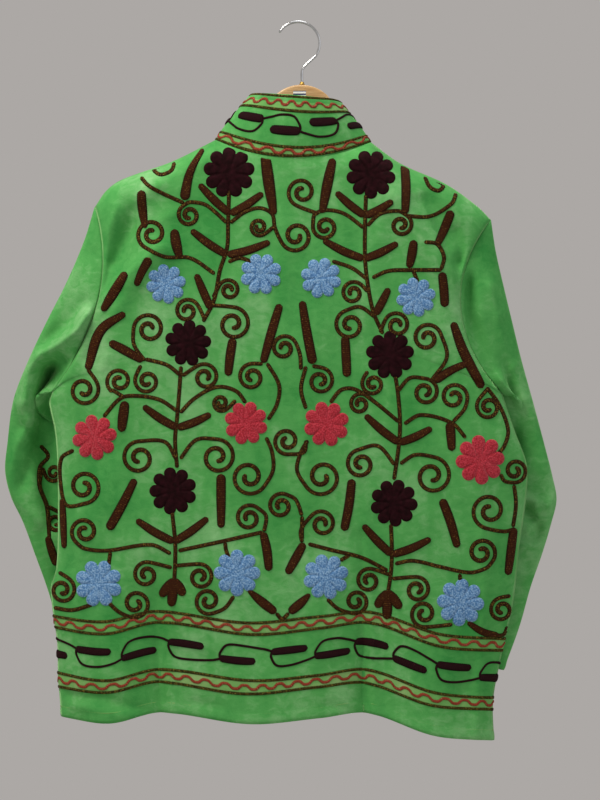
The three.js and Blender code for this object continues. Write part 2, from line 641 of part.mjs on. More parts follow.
function hangerGeometry() {
  const arm = (side) => {
    const steps = 6;
    const points = [];
    for (let i = 0; i <= steps; i += 1) {
      const x = HANGER.x + side * lerp(HANGER.armStart, HANGER.armEnd, i / steps);
      points.push([x, shoulderSeamZ(x) - WALL - HANGER.under]);
    }
    return points;
  };
  const crown = [];
  const crownSteps = 8;
  for (let i = 0; i <= crownSteps; i += 1) {
    const turn = lerp(-HANGER.crownTurn, HANGER.crownTurn, i / crownSteps);
    crown.push([
      HANGER.x + HANGER.crownRadius * Math.sin(turn),
      HANGER.crownZ - HANGER.crownRadius * (1 - Math.cos(turn)),
    ]);
  }
  const left = arm(-1).reverse();
  const right = arm(1);
  const foot = [];
  const footSteps = 14;
  for (let i = 0; i <= footSteps; i += 1) {
    const t = i / footSteps;
    const ends = lerp(right.at(-1)[1], left[0][1], t) - HANGER.endDepth;
    const rise = (HANGER.middleFoot - ends) * Math.sin(Math.PI * t) ** 3;
    foot.push([HANGER.x + HANGER.armEnd * Math.cos(Math.PI * t), ends + rise]);
  }
  const waist = (side) => HANGER.waist.map((p) => [HANGER.x + side * p.x, p.z]);
  const corners = [...left, ...waist(-1).reverse(), ...crown, ...waist(1), ...right, ...foot];
  const shape = new THREE.Shape(corners.map(([x, z]) => new THREE.Vector2(x, z)));
  const geometry = new THREE.ExtrudeGeometry(shape, { depth: HANGER.thickness, bevelEnabled: false });
  geometry.rotateX(Math.PI / 2);
  geometry.translate(0, HANGER.thickness / 2, 0);
  return geometry;
}

// The hook: a round bend from its open end over the top, and back under to the stem
function hookGeometry() {
  const centreZ = HOOK.wire / 2 - HOOK.radius;
  const points = [];
  for (let deg = HOOK.startDeg; deg >= HOOK.endDeg; deg -= 10) {
    const turn = THREE.MathUtils.degToRad(deg);
    points.push(new THREE.Vector3(HOOK.radius * Math.cos(turn), 0, centreZ + HOOK.radius * Math.sin(turn)));
  }
  const stemTop = centreZ - HOOK.radius - 8;
  points.push(new THREE.Vector3(HOOK.stemX + 3, 0, stemTop + 6));
  points.push(new THREE.Vector3(HOOK.stemX, 0, stemTop));
  points.push(new THREE.Vector3(HOOK.stemX, 0, HANGER.crownZ + SEAM_GAP));
  const section = new THREE.Shape();
  section.absarc(0, 0, HOOK.wire / 2, 0, 2 * Math.PI, false);
  return new THREE.ExtrudeGeometry(section, {
    steps: HOOK.steps,
    curveSegments: HOOK.halfSides,
    bevelEnabled: false,
    extrudePath: new THREE.CatmullRomCurve3(points),
  });
}

function labelGeometry() {
  const geometry = new THREE.BoxGeometry(LABEL.width, LABEL.thickness, LABEL.height);
  const y = -COLLAR_TOP.back + WALL + LABEL.clear + LABEL.thickness / 2;
  geometry.translate(LABEL.x, y, COLLAR_TOP.zBack + LABEL.above - LABEL.height / 2);
  return geometry;
}

// ---- The jacket ----

function piece(name, geometry, color, roughness, metalness = 0) {
  const mesh = new THREE.Mesh(geometry, new THREE.MeshStandardMaterial({ color, roughness, metalness }));
  mesh.name = name;
  return mesh;
}

const VELVET = "#4fb04a";
const VELVET_ROUGHNESS = 0.9;
const halfGap = (FRONT_GAP / 2 / (NECK_RIGHT.x - NECK_LEFT.x)) * (NECK_W.right - NECK_W.left);
const cloth = (name, geometry) => piece(name, geometry, VELVET, VELVET_ROUGHNESS);

const jacket = new THREE.Group();
jacket.add(
  cloth("back_panel", panelGeometry("back", 0, 1)),
  cloth("front_left", panelGeometry("front", 0, 0.5 - halfGap)),
  cloth("front_right", panelGeometry("front", 0.5 + halfGap, 1)),
  cloth("sleeve_left", sleeveGeometry(ARMHOLE_LEFT, SLEEVE_LEFT, LEFT_SLEEVE_FOLDS, -1)),
  cloth("sleeve_right", sleeveGeometry(ARMHOLE_RIGHT, SLEEVE_RIGHT, RIGHT_SLEEVE_FOLDS, 1)),
  cloth("collar", collarGeometry()),
  piece("neck_label", labelGeometry(), "#27305a", 0.8),
  piece("hanger_wood", hangerGeometry(), "#c9a26b", 0.55),
  piece("hanger_hook", hookGeometry(), "#c8ccd0", 0.2, 1),
);
FLOWERS.forEach((flower, k) => {
  const colour = k < 6 ? FLOWER_COLOURS.dark : k < 14 ? FLOWER_COLOURS.blue : FLOWER_COLOURS.red;
  const name = `flower_${String(k + 1).padStart(2, "0")}`;
  jacket.add(piece(name, flowerGeometry(flower), colour, 0.85));
});

export default jacket;
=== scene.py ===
"""An embroidered velvet jacket with a stand collar, hanging closed on a flat wooden hanger.

Lengths are millimetres until a mesh is made. +Z is up, and the jacket's back faces -Y.
The origin is the inside of the hook's top.
"""

import math

import bpy
import numpy as np
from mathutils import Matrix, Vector


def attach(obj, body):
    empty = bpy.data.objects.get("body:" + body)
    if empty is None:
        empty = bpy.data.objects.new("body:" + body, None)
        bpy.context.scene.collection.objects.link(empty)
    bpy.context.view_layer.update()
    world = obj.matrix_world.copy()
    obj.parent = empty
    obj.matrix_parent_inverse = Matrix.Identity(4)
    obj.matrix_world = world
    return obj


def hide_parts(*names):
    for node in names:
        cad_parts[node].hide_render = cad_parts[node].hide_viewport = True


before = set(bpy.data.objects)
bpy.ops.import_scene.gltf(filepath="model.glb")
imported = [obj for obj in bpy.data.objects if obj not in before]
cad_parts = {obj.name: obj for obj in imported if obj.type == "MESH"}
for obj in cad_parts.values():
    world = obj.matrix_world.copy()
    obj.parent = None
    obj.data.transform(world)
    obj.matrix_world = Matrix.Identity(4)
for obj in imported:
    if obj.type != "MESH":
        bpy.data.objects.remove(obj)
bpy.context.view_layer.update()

MM = 0.001
WALL = 2.0  # velvet with its backing cloth
SEAM_GAP = 0.3
FRONT_GAP = 3.0

# ---- The jacket's form: the CAD solids' own outline, sections and main folds ----

NECK_LEFT = (-103, -146)
NECK_RIGHT = (91, -149)
NECK_DIP = {"back": 24, "front": 68}
COLLAR_TOP = {"x": -3, "half_width": 57, "back": 38, "front": 60, "z_back": -93, "z_front": -146}
COLLAR_LEVEL = 3.5  # how long its top edge stays level before it dips to the front
COLLAR_TILT = -0.08  # the top edge falls to the right
COLLAR_BULGE = 3
SHOULDER_TURN = 26
SECTION_POWER = 2.6
FOLD_FREE = {"share": 0.08, "below": 30}
CREASE_FREE = {"share": 0.025, "below": 14}

SIDE_LEFT = [
    (-866, -296),
    (-815, -300),
    (-776, -301),
    (-707, -309),
    (-680, -302),
    (-607, -300),
    (-546, -301),
    (-510, -304),
    (-475, -311),
    (-461, -307),
]
SIDE_RIGHT = [
    (-896, 245),
    (-846, 244),
    (-792, 254),
    (-724, 269),
    (-652, 277),
    (-595, 285),
    (-552, 286),
    (-512, 272),
    (-465, 256),
]
ARMHOLE_LEFT = {"top": (-254, -230), "bottom": (-307, -461), "bow": 32, "back": 26, "front": 16}
ARMHOLE_RIGHT = {"top": (241, -246), "bottom": (256, -465), "bow": -46, "back": 26, "front": 16}
SHOULDER_LEFT = [(0, -230), (0.028, -210), (0.067, -196), (0.198, -172.5), (0.305, -146)]
SHOULDER_RIGHT = [(0.697, -149), (0.77, -175), (0.889, -202), (0.968, -230), (1, -246)]
NECK_W = (0.305, 0.697)
HEM = [
    (0, -866),
    (0.114, -873),
    (0.233, -860),
    (0.437, -873),
    (0.598, -866),
    (0.709, -861),
    (0.86, -888),
    (1, -896),
]
DEPTH = {
    "back": [(-896, 34), (-750, 38), (-600, 44), (-420, 46), (-320, 44), (-230, 41), (-120, 40)],
    "front": [(-896, 16), (-750, 17), (-600, 18), (-420, 20), (-320, 24), (-230, 29), (-120, 30)],
}

# A fold is a line of places, its width, its height over 0 or below, what is lost of it towards its
# end, and how crisp it is: 2 is soft and round, 1 is a sharp crease.
BACK_FOLDS = [
    # the main folds, which the solid has too
    ([(-171, -880), (-176, -655)], 30, -13, 1, 2),
    ([(87, -880), (84, -560)], 32, -14, 1, 2),
    ([(-236, -880), (-232, -690)], 32, 6, 1, 2),
    ([(-55, -880), (-45, -620)], 55, 7, 1, 2),
    ([(170, -895), (176, -680)], 38, 8, 1, 2),
    ([(126, -222), (185, -318), (240, -425), (268, -520)], 19, 9, 0.2, 2),
    ([(160, -222), (214, -330)], 18, -7, 0, 2),
    ([(-172, -286), (-262, -372)], 18, 9, 0, 2),
    ([(-212, -238), (-232, -320)], 20, -8, 0, 2),
    ([(-178, -205), (-240, -258)], 13, 5, 0, 2),
]
BACK_CREASES = [
    ([(150, -215), (168, -262), (186, -304), (210, -352), (232, -398), (264, -482)], 5, 4.5, 0, 1.2),
    ([(204, -300), (218, -340), (236, -400)], 9, -11, 0.2, 2),
    ([(196, -262), (214, -320)], 8, -5, 0, 1.8),
    ([(-176, -284), (-212, -316), (-252, -352)], 6, 3.6, 0, 1.2),
    ([(-205, -256), (-228, -300)], 9, -5, 0, 1.7),
    ([(-222, -338), (-256, -392), (-262, -420)], 7, -4, 0.1, 1.7),
    ([(-238, -420), (-262, -470), (-246, -520)], 9, 2.4, 0.2, 1.6),
    ([(-294, -838), (-240, -842), (-190, -858)], 6, -3.6, 0.3, 1.5),
    ([(-282, -852), (-214, -862)], 5, 2.6, 0.3, 1.5),
    ([(-130, -846), (-96, -852)], 5, -2.2, 0.3, 1.6),
    ([(36, -850), (70, -858)], 5, -2.2, 0.3, 1.6),
    ([(-150, -790), (-40, -800)], 12, -1.4, 0.6, 2),
    ([(20, -640), (60, -420)], 40, -3, 0.5, 2),
    ([(-120, -620), (-110, -420)], 36, -2.5, 0.4, 2),
    ([(96, -884), (92, -760), (84, -600)], 8, 5, 0.7, 1.4),
    ([(82, -884), (80, -640)], 7, -5, 0.5, 1.6),
    ([(-156, -872), (-163, -690)], 8, 4.5, 0.8, 1.4),
    ([(-171, -876), (-176, -710)], 7, -5, 0.6, 1.6),
    ([(222, -890), (232, -700), (226, -560)], 8, 3.4, 0.6, 1.5),
    ([(-268, -850), (-276, -700), (-262, -560)], 9, 3, 0.6, 1.5),
    ([(-150, -210), (-120, -300), (-112, -380)], 12, 2.2, 0.6, 1.8),
    ([(120, -190), (96, -290), (90, -370)], 12, 2, 0.6, 1.8),
    ([(-20, -260), (0, -560)], 60, 3, 0.3, 2),
    ([(-6, -300), (-3, -560), (2, -760)], 6, -0.9, 0, 1.8),
    ([(-255, -640), (-215, -470)], 22, 3, 0.3, 2),
    ([(230, -640), (196, -470)], 20, 3.5, 0.3, 2),
    ([(-262, -560), (-180, -500)], 14, -2.2, 0.6, 2),
    ([(205, -830), (240, -760)], 12, -2.2, 0.4, 2),
    ([(-226, -232), (-262, -330), (-286, -420)], 7, 4, 0.2, 1.6),
    ([(-206, -236), (-236, -310), (-262, -380)], 9, -4, 0.2, 1.8),
    ([(-150, -238), (-196, -262)], 7, 2.4, 0.3, 1.5),
]
FRONT_FOLDS = [
    ([(-150, -880), (-146, -640)], 30, -8, 1, 2),
    ([(128, -890), (122, -620)], 30, -8, 1, 2),
    ([(-120, -250), (-200, -400)], 20, -6, 0, 2),
    ([(110, -250), (190, -400)], 20, -6, 0, 2),
    ([(-230, -870), (-225, -700)], 26, 5, 1, 2),
    ([(190, -890), (196, -720)], 26, 5, 1, 2),
]
FRONT_CREASES = [
    ([(-196, -268), (-232, -330), (-268, -400)], 10, 7, 0.2, 1.5),
    ([(-214, -262), (-246, -318), (-276, -372)], 8, -6, 0.2, 1.7),
    ([(182, -268), (216, -330), (246, -410)], 10, 7, 0.2, 1.5),
    ([(200, -270), (224, -330), (238, -372)], 8, -6, 0.2, 1.7),
    ([(-132, -190), (-118, -260), (-60, -330)], 14, 3.5, 0.5, 1.8),
    ([(120, -190), (104, -260), (52, -330)], 14, 3.5, 0.5, 1.8),
    ([(-60, -860), (-70, -560)], 30, 5, 0.6, 1.8),
    ([(60, -870), (72, -580)], 30, 5, 0.6, 1.8),
    ([(-246, -450), (-190, -540), (-120, -590)], 13, -4, 0.5, 1.6),
    ([(-262, -480), (-214, -560), (-150, -612)], 10, 3, 0.5, 1.5),
    ([(236, -455), (186, -540), (110, -596)], 13, -4, 0.5, 1.6),
    ([(250, -486), (204, -560), (140, -618)], 10, 3, 0.5, 1.5),
    ([(-200, -884), (-192, -700)], 11, -4, 0.7, 1.6),
    ([(160, -890), (166, -720)], 11, -4, 0.7, 1.6),
    ([(-20, -300), (-26, -560), (-18, -800)], 9, 2.4, 0.3, 1.6),
    ([(24, -340), (18, -620), (26, -860)], 9, 2, 0.3, 1.6),
]

# Sleeves: rings of outer x z y, inner x z y, bow, reach to -Y and to +Y, and how filled the corners are
SLEEVE_LEFT = [
    (-267, -271, 0, -321, -463, 0, 24, 24, 17, 0.05),
    (-288, -321, 1, -327, -471, 10, 15, 20, 18, 0.1),
    (-316, -376, 5, -322, -488, 25, 8, 16, 18, 0.15),
    (-339, -424, 12, -297, -506, 34, 3, 13, 16, 0.2),
    (-357, -471, 18, -270, -531, 38, 0, 13, 15, 0.2),
    (-365, -526, 23, -242, -560, 39, 0, 13, 14, 0.2),
    (-368, -560, 26, -226, -584, 39, 0, 13, 14, 0.2),
    (-361, -592, 28, -216, -606, 38, 0, 12, 14, 0.2),
    (-346, -624, 30, -208, -630, 38, 0, 12, 14, 0.2),
    (-331, -665, 33, -200, -662, 38, 0, 12, 13, 0.2),
    (-315, -710, 36, -190, -700, 38, 0, 12, 13, 0.2),
    (-300, -762, 38, -177, -746, 38, 0, 12, 12, 0.2),
    (-283, -816, 38, -163, -791, 38, 0, 12, 12, 0.2),
]
SLEEVE_RIGHT = [
    (247, -284, 0, 272, -468, 0, -34, 24, 17, 0.05),
    (256, -324, 1, 280, -477, 11, -22, 20, 18, 0.1),
    (267, -369, 5, 277, -492, 26, -12, 16, 18, 0.15),
    (280, -421, 12, 253, -508, 35, -5, 13, 16, 0.2),
    (295, -474, 18, 232, -532, 39, 0, 12, 15, 0.2),
    (310, -529, 23, 208, -560, 40, 0, 12, 14, 0.2),
    (320, -568, 26, 193, -582, 40, 0, 12, 14, 0.2),
    (325, -596, 28, 185, -604, 39, 0, 12, 14, 0.2),
    (319, -624, 30, 178, -627, 39, 0, 12, 14, 0.2),
    (308, -662, 33, 173, -656, 39, 0, 12, 13, 0.2),
    (293, -706, 36, 165, -698, 39, 0, 12, 13, 0.2),
    (279, -756, 38, 155, -743, 39, 0, 12, 12, 0.2),
    (259, -811, 38, 138, -786, 39, 0, 12, 12, 0.2),
]
LEFT_SLEEVE_FOLDS = [
    # the elbow's overlap, from the underarm out and down, and the hollow under it
    ([(-262, -366), (-274, -384), (-299, -402), (-326, -416), (-341, -438), (-342, -474)], 9, 17, 0.1, 1.4),
    ([(-294, -424), (-306, -436), (-316, -458)], 9, -20, 0.2, 2),
    ([(-268, -350), (-290, -378), (-326, -404)], 9, -6, 0.2, 1.8),
    ([(-290, -447), (-270, -432)], 8, -8, 0.2, 1.8),
    ([(-297, -424), (-302, -442)], 5, 6, 0, 1.6),
    # the forearm's turn, and its hollow behind the body's side
    ([(-337, -500), (-354, -530), (-361, -558), (-361, -590)], 9, 9, 0.1, 1.5),
    ([(-344, -506), (-330, -520), (-336, -548), (-346, -576)], 8, -9, 0.2, 1.6),
    ([(-306, -440), (-318, -500), (-317, -560), (-302, -620)], 14, -27, 0.4, 2.6),
    ([(-352, -474), (-338, -492), (-318, -500)], 8, 6, 0.3, 1.5),
    ([(-322, -640), (-302, -690)], 10, -5, 0, 2),
    ([(-352, -600), (-320, -625)], 7, 4, 0.2, 1.4),
    # the upper sleeve's long soft ridge
    ([(-262, -290), (-318, -400)], 13, -4, 0.2, 2),
    ([(-280, -310), (-330, -412)], 12, 5, 0.2, 1.8),
]
RIGHT_SLEEVE_FOLDS = [
    ([(262, -310), (276, -400), (296, -490)], 13, 5, 0, 1.8),
    # the long hollow beside the body, with a soft ridge beyond it
    ([(208, -326), (212, -366), (225, -402), (240, -432)], 12, -17, 0.5, 2.2),
    ([(268, -520), (262, -560), (250, -610)], 13, -12, 0.2, 2),
    ([(292, -470), (306, -540)], 9, 4, 0.2, 1.6),
    ([(240, -330), (258, -404), (282, -470)], 9, 7, 0.2, 1.6),
    # the folds inside the elbow
    ([(283, -594), (300, -598), (314, -604)], 5, 6, 0.2, 1.4),
    ([(285, -608), (294, -618), (300, -632)], 8, -13, 0.1, 1.8),
    ([(298, -604), (302, -620), (286, -638)], 5, 6, 0.2, 1.4),
    ([(283, -643), (312, -642)], 7, -8, 0.2, 1.8),
    ([(283, -652), (306, -656)], 6, 5, 0.3, 1.5),
    ([(316, -600), (312, -640)], 8, 5, 0.2, 1.7),
    ([(286, -560), (318, -552)], 14, 5, 0, 2),
    ([(252, -368), (266, -350)], 4, 2.4, 0.2, 1.4),
    ([(254, -448), (274, -426)], 4, 2.6, 0.2, 1.4),
    ([(290, -680), (304, -700)], 9, -4, 0.3, 2),
]

# ---- The embroidery's layout: places on a sheet of even steps, right and down from its corner ----

LAYOUT_STEP = 1.239
LAYOUT_MIDDLE = (300, 400)  # the place on it that lies at MIDDLE
MIDDLE = (2.5, -471)  # x and z of the jacket's middle

STEM = 5.4  # width of a stem
STEMS = [
    [(229, 190), (228, 225), (227, 248), (220, 270), (214, 300), (203, 322)],
    [(181, 366), (179, 394), (177, 418), (175, 440), (177, 468)],
    [(172, 512), (175, 542), (175, 562), (174, 582)],
    [(366, 194), (365, 227), (365, 257), (367, 279), (373, 311), (383, 334)],
    [(395, 374), (398, 394), (400, 422), (399, 444), (394, 480)],
    [(391, 524), (392, 553), (391, 573), (388, 594)],
]

# Padded bars and leaves: places, then the widths at start, middle and end, in steps
BARS = [
    ([(203, 148), (190, 172), (184, 200)], (4, 8, 10)),
    ([(265, 154), (269, 184), (274, 215)], (9, 11, 6)),
    ([(141, 190), (142, 208), (145, 228)], (8, 9, 5)),
    ([(174, 229), (176, 243), (180, 259)], (7, 10, 5)),
    ([(150, 258), (142, 272), (136, 286)], (9, 8, 6)),
    ([(126, 272), (114, 292), (102, 311)], (7, 10, 6)),
    ([(125, 313), (100, 331), (87, 370)], (6, 10, 7)),
    ([(109, 342), (126, 351), (143, 361)], (7, 9, 6)),
    ([(280, 304), (271, 334), (263, 363)], (7, 9, 7)),
    ([(302, 301), (307, 333), (313, 364)], (7, 9, 9)),
    ([(233, 338), (230, 357), (228, 376)], (8, 9, 7)),
    ([(125, 401), (123, 416), (121, 432)], (8, 10, 7)),
    ([(333, 158), (327, 186), (322, 213)], (7, 10, 6)),
    ([(405, 163), (406, 188), (405, 214)], (8, 9, 7)),
    ([(452, 210), (445, 228), (437, 245)], (8, 9, 6)),
    ([(414, 240), (412, 254), (409, 268)], (7, 9, 6)),
    ([(442, 272), (444, 290), (445, 307)], (8, 9, 8)),
    ([(345, 336), (346, 356), (347, 377)], (8, 9, 8)),
    ([(470, 362), (452, 370), (434, 381)], (6, 8, 9)),
    ([(453, 322), (464, 352), (483, 388)], (7, 10, 8)),
    ([(450, 422), (451, 436), (452, 451)], (9, 9, 7)),
    ([(135, 479), (122, 505), (108, 530)], (7, 9, 9)),
    ([(221, 474), (221, 501), (221, 528)], (9, 9, 7)),
    ([(61, 499), (62, 524), (63, 549)], (5, 7, 5)),
    ([(263, 532), (267, 551), (269, 571)], (7, 9, 7)),
    ([(304, 543), (296, 558), (287, 574)], (7, 9, 7)),
    ([(352, 479), (349, 505), (344, 531)], (8, 9, 8)),
    ([(442, 499), (451, 523), (458, 548)], (8, 9, 7)),
    ([(515, 528), (512, 552), (509, 576)], (8, 9, 7)),
    ([(248, 590), (262, 602), (276, 613)], (3, 9, 7)),
    ([(310, 594), (301, 603), (289, 613)], (3, 9, 7)),
    ([(468, 623), (484, 633), (500, 637)], (4, 7, 5)),
]

# Leaves in pairs on the stems: the tip, and the joint at the stem
LEAVES = [
    ((199, 184), (230, 214)),
    ((263, 193), (230, 214)),
    ((191, 230), (227, 255)),
    ((270, 242), (227, 255)),
    ((196, 274), (211, 309)),
    ((143, 406), (177, 428)),
    ((211, 414), (177, 428)),
    ((136, 520), (174, 542)),
    ((208, 518), (174, 542)),
    ((336, 192), (365, 216)),
    ((393, 201), (365, 216)),
    ((323, 240), (364, 259)),
    ((398, 243), (364, 259)),
    ((389, 288), (375, 315)),
    ((365, 415), (399, 443)),
    ((432, 428), (399, 443)),
    ((363, 525), (392, 555)),
    ((431, 539), (392, 555)),
]

# Tulips at the feet of the last stems: the stem's foot, side lobes' tips and bottom tip
TULIPS = [
    ((174, 579), (160, 597), (184, 596), (171, 607)),
    ((388, 591), (376, 608), (401, 609), (387, 620)),
]

# Scrolls: the line that leads in, the curl's centre and radius, and which way it turns
SCROLLS = [
    ([(227, 223), (213, 210), (204, 204), (190, 202)], (189, 215), 10, 1),
    ([(215, 274), (190, 258), (165, 257)], (152, 234), 13.5, -1),
    ([(230, 223), (245, 212), (260, 208), (272, 214), (275, 228)], (296, 236), 14, 1),
    ([(275, 226)], (259, 227), 8, -1),
    ([(319, 214)], (302, 192), 13, -1),
    ([(213, 298)], (229, 290), 9.5, -1),
    ([(208, 305)], (233, 324), 15, -1),
    ([(205, 320)], (187, 311), 11, 1),
    ([(145, 361), (134, 345)], (149, 329), 14, -1),
    ([(141, 365)], (147, 381), 11, 1),
    ([(182, 376)], (205, 377), 12, -1),
    ([(125, 398), (112, 390)], (119, 381), 11.5, -1),
    ([(87, 369)], (83, 390), 14, -1),
    ([(236, 400)], (221, 403), 7.5, -1),
    ([(306, 440), (304, 452)], (287, 441), 12, -1),
    ([(263, 364)], (252, 377), 12, 1),
    ([(301, 370), (300, 355)], (284, 348), 11.5, 1),
    ([(176, 459), (165, 442)], (139, 458), 15, 1),
    ([(180, 459), (196, 440)], (217, 457), 16, -1),
    ([(266, 437), (272, 452), (273, 470)], (249, 477), 16, -1),
    ([(264, 532), (266, 516)], (249, 518), 12, 1),
    ([(73, 450), (60, 459), (60, 490), (66, 506)], (83, 487), 15, 1),
    ([(171, 554), (151, 545), (106, 551), (84, 549)], (84, 532), 12.5, -1),
    ([(172, 568)], (146, 575), 11.5, 1),
    ([(175, 566)], (200, 577), 11.5, -1),
    ([(108, 603), (118, 612)], (135, 604), 13, 1),
    ([(234, 596), (225, 608)], (208, 601), 12, -1),
    ([(57, 573)], (61, 591), 12, -1),
    ([(302, 516), (296, 500)], (281, 506), 11.5, 1),
    ([(364, 228), (345, 214), (328, 210), (315, 214)], (325, 227), 11, 1),
    ([(367, 226), (380, 214), (398, 211)], (401, 225), 10, -1),
    ([(368, 292)], (353, 293), 10.5, 1),
    ([(375, 317), (360, 307)], (350, 325), 13.5, 1),
    ([(380, 333)], (397, 325), 11.5, -1),
    ([(432, 380), (447, 357)], (427, 338), 13, 1),
    ([(368, 371)], (373, 384), 10, 1),
    ([(312, 366)], (320, 381), 12, -1),
    ([(398, 391), (410, 378)], (425, 392), 12, -1),
    ([(453, 422), (464, 410)], (454, 397), 12.5, 1),
    ([(489, 388)], (489, 407), 11, 1),
    ([(376, 403)], (360, 404), 9.5, 1),
    ([(395, 465), (378, 446)], (361, 464), 13, 1),
    ([(308, 440), (301, 452), (297, 470)], (322, 477), 16.5, 1),
    ([(400, 464), (415, 455)], (432, 476), 17, -1),
    ([(302, 543), (301, 530)], (322, 524), 12, -1),
    ([(390, 575)], (369, 581), 11, 1),
    ([(392, 579)], (417, 590), 11.5, -1),
    ([(453, 625)], (424, 614), 12, -1),
    ([(327, 599), (338, 609)], (356, 602), 11, 1),
    ([(395, 564), (413, 561), (440, 567), (470, 573), (486, 569)], (482, 553), 13, 1),
    ([(515, 530), (505, 532)], (490, 511), 16, -1),
    ([(501, 474), (505, 481)], (516, 471), 11, 1),
    ([(512, 597)], (503, 611), 11, 1),
]

# Plain curved lines
LINES = [
    [(140, 176), (148, 185), (160, 192), (184, 203)],
    [(174, 161), (171, 170), (160, 174), (153, 168), (160, 164)],
    [(228, 262), (240, 258), (252, 262)],
    [(177, 411), (160, 400), (139, 396), (121, 398), (103, 417)],
    [(180, 413), (195, 398), (217, 387), (236, 391), (246, 403)],
    [(180, 375), (167, 365), (145, 359)],
    [(267, 363), (279, 385), (277, 404), (268, 420)],
    [(178, 551), (224, 541), (263, 532)],
    [(225, 542), (226, 550), (229, 558)],
    [(110, 552), (108, 566)],
    [(52, 609), (71, 611), (92, 605)],
    [(406, 216), (430, 216), (452, 203), (457, 192)],
    [(425, 175), (430, 186), (439, 190), (444, 184), (437, 179)],
    [(424, 242), (437, 244), (444, 257), (441, 270)],
    [(372, 278), (388, 271), (408, 270), (442, 270)],
    [(413, 270), (418, 282)],
    [(367, 279), (352, 268), (332, 261)],
    [(306, 366), (301, 389), (306, 409)],
    [(404, 424), (421, 415), (452, 423), (466, 438)],
    [(487, 387), (500, 405), (509, 430), (505, 446), (498, 455)],
    [(330, 403), (341, 390), (354, 389), (372, 400), (399, 422)],
    [(515, 485), (517, 505), (514, 528)],
    [(308, 544), (331, 550), (362, 558), (388, 571)],
    [(350, 555), (340, 561)],
    [(460, 574), (461, 584)],
    [(498, 637), (505, 636), (509, 628)],
    [(302, 516), (302, 540)],
    [(276, 613), (282, 619), (289, 613)],
]

# What shows of the left forearm's own vine
ARM_INSIDE = (-300, 200)
ARM_LINES = [
    [(36, 446), (44, 457), (36, 468), (36, 488), (43, 508), (46, 540)],
]
ARM_SCROLLS = [
    ([(35, 488), (38, 470)], (50, 474), 8, 1),
    ([(44, 508)], (52, 524), 9, -1),
]
ARM_BARS = [([(44, 538), (48, 552), (53, 568)], (6, 9, 7))]

# Flowers: centre, radius, turn of the first petal in degrees
DARK_FLOWERS = [
    (229, 172, 26, 10),
    (371, 174, 25, 30),
    (188, 343, 23.5, 5),
    (390, 355, 24.5, 50),
    (173, 491, 24, 20),
    (394, 503, 24, 35),
]
BLUE_FLOWERS = [
    (166, 284, 20, 10),
    (261, 274, 21, 20),
    (321, 278, 20.5, 30),
    (416, 297, 20, 12),
    (98, 584, 24, 25),
    (237, 573, 23.5, 0),
    (326, 577, 23, 15),
    (461, 603, 24, 40),
]
RED_FLOWERS = [(94, 437.5, 23, 10), (246, 423, 22, 28), (326.5, 424, 23, 17), (480.5, 460, 25, 5)]

# The bands round the hem and collar: heights over the hem, and shares of the collar's height.
# Bars take turns at two heights. drift moves the ones near the middle of the back along.
HEM_LINES = (126, 112, 54, 38)
HEM_MIDDLE = 82  # where the hem band's length is measured
HEM_SEAM = {"height": 13, "width": 1.3}
HEM_BARS = {
    "upper": 89,
    "lower": 78,
    "pitch": 116,
    "length": 46,
    "width": 10.4,
    "first": -3,
    "drift": 18,
}
COLLAR_HEIGHT = 75
COLLAR_LINES = (0.98, 0.75, 0.17, 0.03)
COLLAR_BARS = {
    "upper": 0.57,
    "lower": 0.43,
    "pitch": 98,
    "length": 38,
    "width": 12,
    "first": -38,
    "drift": 0,
}
ZIGZAG = {"pitch": 24, "swing": 2.9, "width": 4.2}
BAND_STEP = 2  # between places along a band
BAND_END = 3  # the bands stop this far from the front edges
LINE_WIDTH = 4.2

# ---- How fine the cloth is, and how its edges are turned ----

PANEL_STEPS = {
    "back": {"shoulder": 52, "neck": 70, "below": 110, "above": 90},
    "front": {"shoulder": 34, "neck": 40, "below": 80, "above": 64},
}
SLEEVE_STEPS = {"around": 128, "along": 130}
COLLAR_STEPS = {"around": 201, "up": 25}
BODY_HEIGHT = 640  # about how far the cloth runs from hem to shoulder
SLEEVE_LENGTH = 560
COLLAR_REACH = 70

# ---- Helpers ----


def lerp(a, b, t):
    return a + (b - a) * t


def smooth(low, high, value):
    t = np.clip((value - low) / (high - low), 0, 1)
    return t * t * (3 - 2 * t)


def linear(colour):
    """An sRGB hex colour as the linear RGBA that the shaders take."""
    parts = [int(colour[i : i + 2], 16) / 255 for i in (1, 3, 5)]
    return [c / 12.92 if c <= 0.04045 else ((c + 0.055) / 1.055) ** 2.4 for c in parts] + [1]


def follow(keys, values, at):
    """A smooth curve through values at rising keys."""
    keys = np.asarray(keys, float)
    values = np.asarray(values, float)
    at = np.clip(at, keys[0], keys[-1])
    last = len(keys) - 1
    i = np.searchsorted(keys[1:-1], at, side="left")
    flat = (1,) * (values.ndim - 1)

    def shaped(numbers):
        return np.reshape(numbers, np.shape(numbers) + flat)

    def slope(a, b):
        return (values[b] - values[a]) / shaped(keys[b] - keys[a])

    span = keys[i + 1] - keys[i]
    t = shaped((at - keys[i]) / span)
    before = slope(np.maximum(i - 1, 0), i + 1) * shaped(span)
    after = slope(i, np.minimum(i + 2, last)) * shaped(span)
    return (
        values[i] * (2 * t**3 - 3 * t**2 + 1)
        + before * (t**3 - 2 * t**2 + t)
        + values[i + 1] * (3 * t**2 - 2 * t**3)
        + after * (t**3 - t**2)
    )


def table(rows, at):
    keys, values = zip(*rows)
    return follow(keys, values, at)


